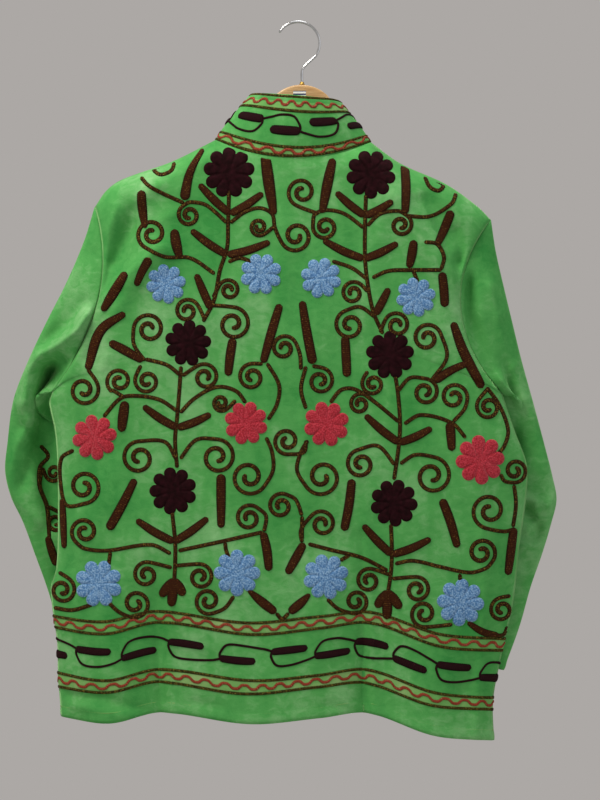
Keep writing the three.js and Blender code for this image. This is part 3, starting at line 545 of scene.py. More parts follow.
def fold_height(folds, x, z):
    """How far the folds lift the cloth at x, z."""
    height = np.zeros(np.shape(x))
    for line, width, rise, fade, power in folds:
        lengths = [math.dist(a, b) for a, b in zip(line, line[1:])]
        nearest = np.full(np.shape(x), np.inf)
        share = np.zeros(np.shape(x))
        start = 0.0
        for (x0, z0), (x1, z1), length in zip(line, line[1:], lengths):
            t = np.clip(((x - x0) * (x1 - x0) + (z - z0) * (z1 - z0)) / length**2, 0, 1)
            away = np.hypot(x - lerp(x0, x1, t), z - lerp(z0, z1, t))
            closer = away < nearest
            nearest = np.where(closer, away, nearest)
            share = np.where(closer, (start + t * length) / sum(lengths), share)
            start += length
        height += rise * (1 - fade * share) * np.exp(-((nearest / width) ** power))
    return height


def slack(x, z):
    """The cloth's small unevenness, which no fold accounts for."""
    return (
        0.8 * np.sin(x / 23 + 1.3 * np.sin(z / 41)) * np.sin(z / 31 + 0.8)
        + 0.4 * np.sin(x / 11 + z / 17 + 2.1) * np.sin(z / 13 - x / 29)
        + 0.16 * np.sin(x / 5.3 - z / 9.1 + np.sin(z / 19)) * np.sin(z / 7.7 + x / 12)
    )


# ---- The body's surface ----


def armhole_point(hole, phi):
    """The armhole's loop from the shoulder tip (0) to the underarm (pi): x, z and its reach each way."""
    c = np.cos(phi)
    s = np.abs(np.sin(phi))
    (top_x, top_z), (bottom_x, bottom_z) = hole["top"], hole["bottom"]
    x = (top_x + bottom_x) / 2 + c * (top_x - bottom_x) / 2 + hole["bow"] * s * s
    z = (top_z + bottom_z) / 2 + c * (top_z - bottom_z) / 2
    return x, z, {"back": hole["back"] * s, "front": hole["front"] * s}


def edge_at(side, hole, z):
    """Where the body's edge is at height z, and how far the armhole holds it open there."""
    half = (hole["top"][1] - hole["bottom"][1]) / 2
    c = (z - (hole["top"][1] + hole["bottom"][1]) / 2) / half
    x, _, held = armhole_point(hole, np.arccos(np.clip(c, -1, 1)))
    below = c <= -1
    held = {face: np.where(below, 0, reach) for face, reach in held.items()}
    return np.where(below, table(side, z), x), held


def neck_opening(w):
    """0 on the shoulders, and rising to 1 at the middle of the neck."""
    t = (w - sum(NECK_W) / 2) / ((NECK_W[1] - NECK_W[0]) / 2)
    return np.sqrt(np.clip(1 - t * t, 0, None))


def top_line(w, dip):
    neck = lerp(NECK_LEFT[1], NECK_RIGHT[1], (w - NECK_W[0]) / (NECK_W[1] - NECK_W[0]))
    neck = neck - dip * neck_opening(w) ** 2
    left = table(SHOULDER_LEFT, w)
    right = table(SHOULDER_RIGHT, w)
    return np.where(w <= NECK_W[0], left, np.where(w >= NECK_W[1], right, neck))


def front_share():
    """Half the gap between the fronts, as a share of the way across."""
    return FRONT_GAP / 2 / (NECK_RIGHT[0] - NECK_LEFT[0]) * (NECK_W[1] - NECK_W[0])


def body_edges(g):
    left = edge_at(SIDE_LEFT, ARMHOLE_LEFT, lerp(HEM[0][1], ARMHOLE_LEFT["top"][1], g))
    right = edge_at(SIDE_RIGHT, ARMHOLE_RIGHT, lerp(HEM[-1][1], ARMHOLE_RIGHT["top"][1], g))
    return left, right


def body(face, w, g):
    """Points of a face of the body. w runs across and g up, each from 0 to 1."""
    hem_z = table(HEM, w)
    top_z = top_line(w, NECK_DIP[face])
    z = lerp(hem_z, top_z, g)
    (left_x, left), (right_x, right) = body_edges(g)
    x = lerp(left_x, right_x, w)
    section = (1 - np.abs(2 * w - 1) ** SECTION_POWER) ** (1 / SECTION_POWER)
    below = top_z - z
    turn = np.sqrt(1 - (1 - np.clip(below / SHOULDER_TURN, 0, 1)) ** 2)
    opening = neck_opening(w)
    full = np.sqrt(opening**2 + (1 - opening**2) * turn**2) * table(DEPTH[face], z)
    held = lerp(left[face], right[face], w)
    edge = 0.5 - np.abs(w - 0.5)
    folds, creases = (BACK_FOLDS, BACK_CREASES) if face == "back" else (FRONT_FOLDS, FRONT_CREASES)
    free = smooth(0, FOLD_FREE["share"], edge) * smooth(0, FOLD_FREE["below"], below)
    lift = fold_height(folds, x, z) * free
    free = smooth(0, CREASE_FREE["share"], edge) * smooth(0, CREASE_FREE["below"], below)
    lift = lift + (fold_height(creases, x, z) + slack(x, z)) * free
    depth = held + (full - held) * section + lift + SEAM_GAP / 2
    return np.stack([x, depth * (-1 if face == "back" else 1), z], axis=-1)


def body_place(face, x, z):
    """w and g of the points of a face that lie at x, z."""
    w = np.full(np.shape(x), 0.5)
    g = np.full(np.shape(x), 0.5)
    for _ in range(12):
        (left_x, _), (right_x, _) = body_edges(g)
        w = np.clip((x - left_x) / (right_x - left_x), 0.002, 0.998)
        hem_z = table(HEM, w)
        g = np.clip((z - hem_z) / (top_line(w, NECK_DIP[face]) - hem_z), 0, 0.995)
    return w, g


def on_back(x, z):
    return body("back", *body_place("back", x, z))


def collar_surface(turn, up):
    """Points of the collar. turn is 0 at the centre back and +-pi at the front edges."""
    w = sum(NECK_W) / 2 + (NECK_W[1] - NECK_W[0]) / 2 * np.sin(turn)
    top = np.ones(np.shape(w))
    at_back = np.cos(turn) >= 0
    foot = np.where(at_back[..., None], body("back", w, top), body("front", w, top))
    reach = np.where(at_back, COLLAR_TOP["back"], COLLAR_TOP["front"])
    waves = 1.1 * np.sin(3.1 * turn + 0.8) + 0.7 * np.sin(7 * turn + 2)
    out = np.sin(np.pi * up) * (COLLAR_BULGE + waves) + 0.5 * up * np.sin(9 * turn + 1)
    frontness = (1 - np.cos(turn)) / 2
    top_x = COLLAR_TOP["x"] + COLLAR_TOP["half_width"] * np.sin(turn)
    z_top = lerp(COLLAR_TOP["z_back"], COLLAR_TOP["z_front"], frontness**COLLAR_LEVEL)
    z_top = z_top + COLLAR_TILT * top_x
    x = lerp(foot[..., 0], top_x, up) + out * np.sin(turn)
    y = lerp(foot[..., 1], -reach * np.cos(turn), up) - out * np.cos(turn)
    z = lerp(foot[..., 2] + SEAM_GAP, z_top, up)
    return np.stack([x, y, z], axis=-1)


def round_body(t, height):
    """Points round the body: t is 0 to 1 across the back, below 0 and over 1 on the fronts."""
    w = np.where(t < 0, -t, np.where(t > 1, 2 - t, t))
    at_back = (t >= 0) & (t <= 1)
    hem_z = table(HEM, w)
    points = {}
    for face in ("back", "front"):
        g = height / (top_line(w, NECK_DIP[face]) - hem_z)
        points[face] = body(face, w, g)
    return np.where(at_back[..., None], points["back"], points["front"])


class Ruler:
    """Turns millimetres along a line of the cloth into the surface's own parameter."""

    def __init__(self, surface, parameters, zero):
        points = surface(parameters)
        steps = np.linalg.norm(np.diff(points, axis=0), axis=1)
        self.parameters = parameters
        self.lengths = np.concatenate([[0], np.cumsum(steps)])
        self.lengths -= np.interp(zero, parameters, self.lengths)

    def at(self, length):
        return np.interp(length, self.lengths, self.parameters)

    def span(self):
        return self.lengths[0], self.lengths[-1]


# ---- Meshes ----


def quads(a, b, c, d):
    return np.stack([a.ravel(), b.ravel(), c.ravel(), d.ravel()], axis=1)


def grid_faces(rows, columns, wraps=False):
    index = np.arange(rows * columns).reshape(rows, columns)
    if wraps:
        index = np.hstack([index, index[:, :1]])
    return index, quads(index[:-1, :-1], index[:-1, 1:], index[1:, 1:], index[1:, :-1])


def grid_normals(grid, wraps=False):
    up = np.gradient(grid, axis=0)
    if wraps:
        across = np.roll(grid, -1, axis=1) - np.roll(grid, 1, axis=1)
    else:
        across = np.gradient(grid, axis=1)
    normal = np.cross(up, across)
    return normal / np.linalg.norm(normal, axis=-1, keepdims=True).clip(1e-9)


def outward(faces, points):
    """The faces, turned so that the closed mesh holds a volume over 0."""
    a, b, c, d = (points[faces[:, k]] for k in range(4))
    volume = np.einsum("ij,ij->", a, np.cross(b, c)) + np.einsum("ij,ij->", a, np.cross(c, d))
    return faces if volume > 0 else faces[:, ::-1]


def wall(grid, inner, wraps=False):
    """The points and faces of a closed wall between two grids."""
    rows, columns = grid.shape[:2]
    count = rows * columns
    index, outer_faces = grid_faces(rows, columns, wraps)
    under = index + count
    parts = [
        outer_faces,
        outer_faces[:, ::-1] + count,
        quads(index[0, 1:], index[0, :-1], under[0, :-1], under[0, 1:]),
        quads(index[-1, :-1], index[-1, 1:], under[-1, 1:], under[-1, :-1]),
    ]
    if not wraps:
        parts.append(quads(index[:-1, 0], index[1:, 0], under[1:, 0], under[:-1, 0]))
        parts.append(quads(index[1:, -1], index[:-1, -1], under[:-1, -1], under[1:, -1]))
    points = np.concatenate([grid.reshape(-1, 3), inner.reshape(-1, 3)])
    return points, outward(np.concatenate(parts), points).tolist()


def turned_edge(away, middle, spread, out):
    """How far a turned edge stands out, at the distance away from it."""
    return out * np.exp(-(((away - middle) / spread) ** 2))


def add_thread_places(mesh, uv):
    """The place along and across the thread, and in a layer of its own how near its rim is."""
    corners = np.empty(len(mesh.loops), dtype=np.int32)
    mesh.loops.foreach_get("vertex_index", corners)
    places = uv[corners]
    layer = mesh.uv_layers.new(name="thread")
    layer.data.foreach_set("uv", (places[:, :2] * MM).ravel())
    rim = mesh.uv_layers.new(name="rim")
    rim.data.foreach_set("uv", places[:, [2, 2]].ravel())


def make_piece(name, points, faces, material, uv=None, replaces=()):
    """A piece of the one body. faces are lists of point numbers."""
    mesh = bpy.data.meshes.new(name)
    mesh.from_pydata((points * MM).tolist(), [], faces)
    mesh.shade_smooth()
    mesh.materials.append(material)
    if uv is not None:
        add_thread_places(mesh, uv)
    piece = bpy.data.objects.new(name, mesh)
    bpy.context.collection.objects.link(piece)
    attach(piece, "root")
    if replaces:
        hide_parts(*replaces)
    return piece


class Stitching:
    """Embroidery of one thread, gathered into one mesh."""

    def __init__(self):
        self.points = []
        self.faces = []
        self.uv = []
        self.count = 0

    def add(self, points, faces, uv):
        self.points.append(points)
        self.faces.append(faces + self.count)
        self.uv.append(uv)
        self.count += len(points)

    def piece(self, name, material, slot, replaces=()):
        points = np.concatenate(self.points)
        faces = np.concatenate(self.faces).tolist()
        return make_piece(name, points, faces, material, np.concatenate(self.uv), replaces)


def lay(surface, u, v, lift, inside=(MIDDLE[0], 0)):
    """Points that stand off a surface by lift, away from an inside x, y, at the parameters u, v."""
    step = 0.4  # each way, to find the surface's slope
    across = surface(u + step, v) - surface(u - step, v)
    along = surface(u, v + step) - surface(u, v - step)
    normal = np.cross(across, along)
    normal /= np.linalg.norm(normal, axis=-1, keepdims=True).clip(1e-9)
    place = surface(u, v)
    away = (place[..., :2] - inside) * (0.1, 1)  # the jacket is flat, so its depth decides
    outside = np.sign((normal[..., :2] * away).sum())
    return place + normal * outside * np.asarray(lift)[..., None]


def spline(places, step=1.25):
    """A smooth line through places, with points every step."""
    places = np.asarray(places, float)
    lengths = np.concatenate([[0], np.cumsum(np.linalg.norm(np.diff(places, axis=0), axis=1))])
    if len(places) == 2:
        fine = np.linspace(0, lengths[-1], max(3, int(lengths[-1] / step)))
        return np.stack([np.interp(fine, lengths, places[:, k]) for k in range(2)], axis=1)
    fine = follow(lengths, places, np.linspace(0, lengths[-1], 40 * len(places)))
    lengths = np.concatenate([[0], np.cumsum(np.linalg.norm(np.diff(fine, axis=0), axis=1))])
    at = np.linspace(0, lengths[-1], max(4, int(lengths[-1] / step) + 1))
    return np.stack([np.interp(at, lengths, fine[:, k]) for k in range(2)], axis=1)


def stitch(stitching, surface, line, widths, height, across=7, sink=0.5, inside=(MIDDLE[0], 0)):
    """A domed strip of stitches along a line, with round ends. widths are at its start, middle and end."""
    line = np.asarray(line, float)
    steps = np.linalg.norm(np.diff(line, axis=0), axis=1)
    length = np.concatenate([[0], np.cumsum(steps)])
    total = length[-1]
    direction = np.gradient(line, axis=0)
    direction /= np.linalg.norm(direction, axis=1, keepdims=True).clip(1e-9)
    side = np.stack([direction[:, 1], -direction[:, 0]], axis=1)
    share = length / total
    start, middle, end = widths
    width = start * (1 - share) * (1 - 2 * share)
    width = width + 4 * middle * share * (1 - share) + end * share * (2 * share - 1)
    half = width * ((1 + 0.06 * (-1.0) ** np.arange(len(line))) / 2)  # each loop bulges at the edge
    to_end = np.minimum(length / (start / 2), (total - length) / (end / 2)).clip(0, 1)
    cap = np.sqrt(1 - (1 - to_end) ** 2).clip(0.12)
    offset = np.sin(np.linspace(-np.pi / 2, np.pi / 2, across))
    u = line[:, :1] + side[:, :1] * half[:, None] * cap[:, None] * offset
    v = line[:, 1:] + side[:, 1:] * half[:, None] * cap[:, None] * offset
    dome = np.sqrt(1 - np.abs(offset) ** 3)
    lift = -sink + (height + sink) * dome * (0.45 + 0.55 * cap[:, None])
    points = lay(surface, u, v, lift, inside)
    _, faces = grid_faces(len(line), across)
    along = np.broadcast_to(length[:, None], u.shape)
    rim = np.broadcast_to(np.abs(offset), u.shape)
    uv = np.stack([along, half[:, None] * offset, rim], axis=-1)
    stitching.add(points.reshape(-1, 3), faces, uv.reshape(-1, 3))


def from_layout(places):
    return np.array(MIDDLE) + (np.asarray(places, float) - LAYOUT_MIDDLE) * (LAYOUT_STEP, -LAYOUT_STEP)


def curl(lead, centre, radius, way, turns=1.6, last=0.14):
    """A line that leads into a circle and winds inward."""
    radius = 1.12 * radius  # the first turn runs a little wide
    start = lead[-1]
    away = math.dist(start, centre)
    angle = math.atan2(start[1] - centre[1], start[0] - centre[0])
    if away > radius:
        angle += way * math.acos(radius / away)
    share = np.linspace(0, 1, 60)
    around = angle + way * 2 * np.pi * turns * share
    reach = radius * lerp(1, last, share**1.1)
    spiral = np.stack([centre[0] + reach * np.cos(around), centre[1] + reach * np.sin(around)], axis=1)
    return spline(np.concatenate([lead, spiral[::3]]))


# ---- Materials ----


def add(tree, kind, settings=None, inputs=None, out=0):
    """Adds a shader node and gives one of its outputs.

    settings holds its options, and "stops" for the places and colours of a ramp. inputs holds its
    sockets' values, or the output that feeds each.
    """
    node = tree.nodes.new("ShaderNode" + kind)
    for name, value in (settings or {}).items():
        if name == "stops":
            elements = node.color_ramp.elements
            while len(elements) < len(value):
                elements.new(0.5)
            for element, (position, colour) in zip(elements, value):
                element.position = position
                element.color = linear(colour)
        else:
            setattr(node, name, value)
    for name, value in (inputs or {}).items():
        if isinstance(value, bpy.types.NodeSocket):
            tree.links.new(value, node.inputs[name])
        else:
            node.inputs[name].default_value = value
    return node.outputs[out] if len(node.outputs) else node


def new_material(name):
    material = bpy.data.materials.new(name)
    material.use_nodes = True
    material.node_tree.nodes.clear()
    return material, material.node_tree


def finish_material(tree, inputs):
    """Gives the material its face, from the inputs of the shader."""
    face = add(tree, "BsdfPrincipled", inputs=inputs)
    add(tree, "OutputMaterial", inputs={"Surface": face})


def in_steps(tree, size, stretch=(1, 1, 1)):
    """The place on the object, in steps of size millimetres, longer along an axis by its factor."""
    factors = [1 / (size * MM * factor) for factor in stretch]
    place = add(tree, "TexCoord", out="Object")
    return add(tree, "VectorMath", {"operation": "MULTIPLY"}, {0: place, 1: factors})


MULTIPLY = {"operation": "MULTIPLY"}
MULTIPLY_ADD = {"operation": "MULTIPLY_ADD"}
DIVIDE = {"operation": "DIVIDE"}
SINE = {"operation": "SINE"}
COLOURS = {"data_type": "RGBA", "blend_type": "MIX"}
DARKEN = {"data_type": "RGBA", "blend_type": "MULTIPLY"}
SHIFT = {"data_type": "RGBA", "blend_type": "ADD"}
MIXED = 2  # the output of a mix of colours


def velvet(name, deep, middle, light):
    """Cotton velvet, pile woven and cut: its brushed nap shows as soft light and dark patches.

    The pile itself is finer than 1 mm, and is drawn at 1 mm to show at all.
    """
    material, tree = new_material(name)
    place = in_steps(tree, 95, (1, 1, 1.3))
    patches = add(tree, "TexNoise", inputs={"Vector": place, "Scale": 1.0, "Distortion": 0.4})
    place = in_steps(tree, 24, (1, 1, 6))
    bands = add(tree, "TexNoise", inputs={"Vector": place, "Scale": 1.0, "Distortion": 0.2})
    brushed = {"Vector": in_steps(tree, 9, (1.6, 1, 1)), "Scale": 1.0, "Detail": 3.0}
    brushed.update({"Roughness": 0.55, "Distortion": 0.8})
    strokes = add(tree, "TexNoise", inputs=brushed)
    pile = add(tree, "TexNoise", inputs={"Vector": in_steps(tree, 1.0), "Scale": 1.0})

    nap = add(tree, "Math", MULTIPLY, {0: patches, 1: 0.48})
    nap = add(tree, "Math", MULTIPLY_ADD, {0: bands, 1: 0.27, 2: nap})
    nap = add(tree, "Math", MULTIPLY_ADD, {0: strokes, 1: 0.25, 2: nap})
    colour = add(tree, "ValToRGB", {"stops": [(0.34, deep), (0.5, middle), (0.66, light)]}, {0: nap})
    speck = add(tree, "ValToRGB", {"stops": [(0.3, "#e4e4e4"), (0.7, "#ffffff")]}, {0: pile})
    colour = add(tree, "Mix", DARKEN, {0: 0.6, 6: colour, 7: speck}, MIXED)

    soft = add(tree, "Bump", inputs={"Strength": 0.3, "Distance": 0.9 * MM, "Height": strokes})
    relief = {"Strength": 0.5, "Distance": 0.5 * MM, "Height": pile, "Normal": soft}
    values = {
        "Base Color": colour,
        "Normal": add(tree, "Bump", inputs=relief),
        "Roughness": 0.95,
        "Specular IOR Level": 0.12,
        "Sheen Weight": 0.8,
        "Sheen Roughness": 0.3,
        "Sheen Tint": linear("#a4dc94"),
    }
    finish_material(tree, values)
    return material


def thread(name, deep, body_colour, painted_glint, painted_glint_from=0.6, pitch=2.6, row=1.9):
    """Chain stitch in rows: each loop is a small chevron, with painted shade in its gaps, painted glints on
    its tops and painted shade at the rim.

    The loops' pitch and the rows' width are in millimetres.
    """
    material, tree = new_material(name)
    parts = add(tree, "SeparateXYZ", inputs={0: add(tree, "UVMap", {"uv_map": "thread"})}, out=0)
    along = add(tree, "Math", DIVIDE, {0: parts, 1: pitch * MM})
    across = add(tree, "Math", DIVIDE, {0: parts.node.outputs[1], 1: row * MM})
    in_row = add(tree, "Math", {"operation": "PINGPONG"}, {0: across, 1: 0.5})
    slanted = add(tree, "Math", MULTIPLY_ADD, {0: in_row, 1: 1.1, 2: along})
    wave = add(tree, "Math", SINE, {0: add(tree, "Math", MULTIPLY, {0: slanted, 1: 2 * math.pi})})
    stitches = add(tree, "Math", MULTIPLY_ADD, {0: wave, 1: 0.35, 2: 0.55})
    height = add(tree, "Math", MULTIPLY_ADD, {0: in_row, 1: 0.8, 2: stitches})
    flecks = add(tree, "TexNoise", inputs={"Vector": in_steps(tree, 1.6), "Scale": 1.0})

    # painted shade: the colour darkens where the stitches' relief is low, in the gaps between loops and rows
    dull = add(tree, "ValToRGB", {"stops": [(0.3, deep), (0.8, body_colour)]}, {0: height})
    # painted highlight: the glint colour lies on the raised tops of the loops, where the random flecks pass
    # the threshold
    bright = add(tree, "ValToRGB", {"stops": [(0.3, deep), (0.9, painted_glint)]}, {0: height})
    stops = [(painted_glint_from, "#000000"), (painted_glint_from + 0.1, "#ffffff")]
    painted_glint_mask = add(tree, "ValToRGB", {"stops": stops}, {0: flecks})
    colour = add(tree, "Mix", COLOURS, {0: painted_glint_mask, 6: dull, 7: bright}, MIXED)
    # painted shade: the thread darkens towards the strip's rim, where it turns down into the cloth
    rim = add(tree, "SeparateXYZ", inputs={0: add(tree, "UVMap", {"uv_map": "rim"})})
    shade = add(tree, "ValToRGB", {"stops": [(0.55, "#ffffff"), (1.0, "#6a6a58")]}, {0: rim})
    colour = add(tree, "Mix", DARKEN, {0: 1.0, 6: colour, 7: shade}, MIXED)

    uneven = add(tree, "Bump", inputs={"Strength": 0.6, "Distance": 0.4 * MM, "Height": flecks})
    relief = {"Strength": 1.0, "Distance": 1.0 * MM, "Height": height, "Normal": uneven}
    rope = add(tree, "Bump", inputs=relief)
    values = {"Base Color": colour, "Normal": rope, "Roughness": 0.75, "Specular IOR Level": 0.12}
    finish_material(tree, values)
    return material


def loops(name, deep, body_colour, light, size=2.0):
    """Curly loops of wool worked close together: a knobbly face, with painted shade in the gaps and a
    painted highlight on the tops.
    """
    material, tree = new_material(name)
    bent = add(tree, "TexNoise", inputs={"Vector": in_steps(tree, 3.0), "Scale": 1.0})
    place = add(tree, "Mix", SHIFT, {0: 0.25, 6: in_steps(tree, size), 7: bent}, MIXED)
    cell = {"Vector": place, "Scale": 1.0, "Randomness": 1.0}
    away = add(tree, "TexVoronoi", {"feature": "F1"}, cell, "Distance")
    curled = {"Vector": place, "Scale": 0.9, "Detail": 1.0, "Distortion": 2.5}
    curls = add(tree, "TexNoise", inputs=curled)
    knobs = add(tree, "Math", {"operation": "SUBTRACT"}, {0: 1.0, 1: away})
    knobs = add(tree, "Math", MULTIPLY, {0: knobs, 1: 0.55})
    height = add(tree, "Math", MULTIPLY_ADD, {0: curls, 1: 0.9, 2: knobs})
    # painted shade and highlight: the colour follows the relief, deep in the gaps and light on the tops
    stops = [(0.45, deep), (0.7, body_colour), (0.95, light)]
    values = {
        "Base Color": add(tree, "ValToRGB", {"stops": stops}, {0: height}),
        "Normal": add(tree, "Bump", inputs={"Strength": 0.9, "Distance": 0.9 * MM, "Height": height}),
        "Roughness": 0.85,
        "Specular IOR Level": 0.2,
        "Sheen Weight": 0.35,
        "Sheen Roughness": 0.5,
    }
    finish_material(tree, values)
    return material


def dark_pile():
    """Maroon silk pile, clipped short: almost black, with faint wine-red streaks."""
    material, tree = new_material("clipped maroon pile")
    streaks = add(tree, "TexNoise", inputs={"Vector": in_steps(tree, 6), "Scale": 1.0, "Detail": 3.0})
    pile = add(tree, "TexNoise", inputs={"Vector": in_steps(tree, 0.9), "Scale": 1.0, "Detail": 1.0})
    values = {
        "Base Color": add(tree, "ValToRGB", {"stops": [(0.35, "#190507"), (0.7, "#2c0c13")]}, {0: streaks}),
        "Normal": add(tree, "Bump", inputs={"Strength": 0.5, "Distance": 0.4 * MM, "Height": pile}),
        "Roughness": 0.9,
        "Specular IOR Level": 0.1,
        "Sheen Weight": 0.12,
        "Sheen Roughness": 0.4,
        "Sheen Tint": linear("#8a2038"),
    }
    finish_material(tree, values)
    return material


def varnished_wood():
    """Sawn beech under satin varnish: straight grain along the arms, with a soft gloss."""
    material, tree = new_material("satin varnished beech")
    sawn = {"Vector": in_steps(tree, 6, (12, 1, 1)), "Scale": 1.0, "Detail": 4.0}
    sawn.update({"Roughness": 0.6, "Distortion": 0.4})
    grain = add(tree, "TexNoise", inputs=sawn)
    pores = add(tree, "TexNoise", inputs={"Vector": in_steps(tree, 1.2, (10, 1, 1)), "Scale": 1.0})
    stops = [(0.3, "#b98b55"), (0.5, "#cfa670"), (0.7, "#dcb987")]
    colour = add(tree, "ValToRGB", {"stops": stops}, {0: grain})
    dark = add(tree, "ValToRGB", {"stops": [(0.3, "#c8b8a8"), (0.5, "#ffffff")]}, {0: pores})
    values = {
        "Base Color": add(tree, "Mix", DARKEN, {0: 0.6, 6: colour, 7: dark}, MIXED),
        "Normal": add(tree, "Bump", inputs={"Strength": 0.3, "Distance": 0.15 * MM, "Height": grain}),
        "Roughness": 0.38,
        "Coat Weight": 0.3,
        "Coat Roughness": 0.25,
    }
    finish_material(tree, values)
    return material


def handled_metal(name, size, dull, bright, roughness):
    """A bare metal, whose colour and gloss vary a little where hands have touched it."""
    material, tree = new_material(name)
    detail = {"Vector": in_steps(tree, size[0]), "Scale": 1.0, "Detail": size[1]}
    wear = add(tree, "TexNoise", inputs=detail)
    values = {
        "Base Color": add(tree, "ValToRGB", {"stops": [(0.3, dull), (0.7, bright)]}, {0: wear}),
        "Normal": add(tree, "Bump", inputs={"Strength": 0.2, "Distance": 0.03 * MM, "Height": wear}),
        "Metallic": 1.0,
        "Roughness": roughness,
    }
    finish_material(tree, values)
    return material


def chromed_wire():
    """Drawn steel wire, chromed: bright and mirror-like, a little dulled by handling."""
    return handled_metal("chromed steel wire", (8, 3.0), "#c4c6c8", "#e2e3e4", 0.16)


def brass():
    """Turned brass, unlacquered: warm and slightly dulled."""
    return handled_metal("turned brass", (5, 2.0), "#b08a3c", "#d2ae5a", 0.28)


def striped_tape():
    """Woven cotton tape with navy and white stripes: a dull face with a fine rib."""
    material, tree = new_material("striped woven tape")
    place = add(tree, "SeparateXYZ", inputs={0: add(tree, "TexCoord", out="Object")}, out=2)
    share = add(tree, "Math", DIVIDE, {0: place, 1: 4.4 * MM})
    stripes = add(tree, "Math", {"operation": "FRACT"}, {0: share})
    turns = add(tree, "Math", MULTIPLY, {0: place.node.outputs[0], 1: 2 * math.pi / (0.9 * MM)})
    rib = add(tree, "Math", SINE, {0: turns})
    values = {
        "Base Color": add(tree, "ValToRGB", {"stops": [(0.42, "#27305a"), (0.5, "#e4e2dc")]}, {0: stripes}),
        "Normal": add(tree, "Bump", inputs={"Strength": 0.4, "Distance": 0.1 * MM, "Height": rib}),
        "Roughness": 0.9,
        "Sheen Weight": 0.2,
    }
    finish_material(tree, values)
    return material


def pale_floor():
    """Matt painted board for the floor: pale, with the faintest unevenness."""
    material, tree = new_material("matt pale board")
    patches = add(tree, "TexNoise", inputs={"Vector": in_steps(tree, 60), "Scale": 1.0, "Detail": 3.0})
    colour = add(tree, "ValToRGB", {"stops": [(0.3, "#bdb9b4"), (0.7, "#c6c2bd")]}, {0: patches})
    finish_material(tree, {"Base Color": colour, "Roughness": 0.9})
    return material


# The pile stands up, so it is soft, and paler or darker as it was brushed
VELVET = velvet("brushed green cotton velvet", "#3f9a49", "#5bb05c", "#8bca86")
# Stitching presses the pile flat, so the ground of the bands is paler and more even
PRESSED = velvet("green velvet pressed flat by stitching", "#60ad56", "#7cb766", "#a6c582")
# Dark brown loops, with painted gold glints on their tops and painted shade in the gaps
STEM_THREAD = thread("brown chain stitch with painted gold glints", "#120902", "#42260a", "#94722a", 0.54)
# Padding lifts the leaves and bars, and their painted glints come a little less often
BAR_THREAD = thread("dark brown padded stitch", "#180902", "#4e260c", "#9c7030", 0.6)
# Silk thread: almost black, with a few painted wine-red glints
MAROON_THREAD = thread("maroon padded stitch", "#140406", "#300c12", "#5c242c", 0.68)
# Twisted cord, so its turns are longer than a loop, with painted olive glints on their tops
BAND_THREAD = thread("olive and black twisted cord", "#120f03", "#3c3810", "#8a8034", 0.5, 3.4)
# Thinner thread worked close, so it looks like one rust red line, with painted paler glints on its tops
RUST_THREAD = thread("rust red chain stitch", "#7c2c1c", "#b0503a", "#d8906c", 0.58)
# Wool that curls up in knobs, with a painted pale highlight on top and painted deep blue shade in the gaps
BLUE_LOOPS = loops("curly sky blue wool loops", "#3f6fa6", "#5f92c6", "#a3c8e6")
# Finer loops, closer together, so the crimson looks more even, with painted shade in the gaps and a painted
# highlight on top
RED_LOOPS = loops("close crimson wool loops", "#8a0f1e", "#b81c2e", "#d8485a", 1.5)
# Clipped short, so it swallows the light and its petals are hard to make out
DARK_PILE = dark_pile()

# ---- Cloth pieces ----


def body_rows(below, above):
    """Rows of the body's grid from the hem up, each with its g at the left and right edge."""
    under = [
        (hole["bottom"][1] - hem) / (hole["top"][1] - hem)
        for hole, hem in ((ARMHOLE_LEFT, HEM[0][1]), (ARMHOLE_RIGHT, HEM[-1][1]))
    ]
    rise = (1 + np.cos(np.pi * (1 - np.linspace(0, 1, above)))) / 2
    side = np.linspace(0, 1, below, endpoint=False)
    return [np.concatenate([u * side, lerp(u, 1, rise)]) for u in under]


def body_columns(shoulder, neck):
    across = 1 - np.cos(np.linspace(0, np.pi / 2, shoulder))
    middle = sum(NECK_W) / 2 - (NECK_W[1] - NECK_W[0]) / 2 * np.cos(np.linspace(0, np.pi, neck))
    return np.concatenate([NECK_W[0] * across, middle[1:-1], (1 - (1 - NECK_W[1]) * across)[::-1]])


def make_panel(name, face, low, high):
    """The back or a front, from low to high of the way across."""
    steps = PANEL_STEPS[face]
    columns = body_columns(steps["shoulder"], steps["neck"])
    least = 0.004  # nearer to the panel's edges there is no column
    inside = columns[(columns > low + least) & (columns < high - least)]
    w = np.concatenate([[low], inside, [high]])
    left, right = body_rows(steps["below"], steps["above"])
    g = lerp(left[:, None], right[:, None], w[None, :])
    w = np.broadcast_to(w, g.shape)
    grid = body(face, w, g)
    normal = grid_normals(grid)
    side = -1 if face == "back" else 1
    normal *= side * np.sign(normal[len(normal) // 2, normal.shape[1] // 2, 1])
    inner = grid - WALL * normal
    # the edge's thickness stays on this side of the seams
    inner[..., 1] = side * np.maximum(side * inner[..., 1], SEAM_GAP / 2)
    # the hem is turned up and a little rounder than the cloth
    grid = grid + normal * turned_edge(g * BODY_HEIGHT, 5, 5, 0.9)[..., None]
    points, faces = wall(grid, inner)
    return make_piece(name, points, faces, VELVET, replaces=[name.replace("_velvet", "")])


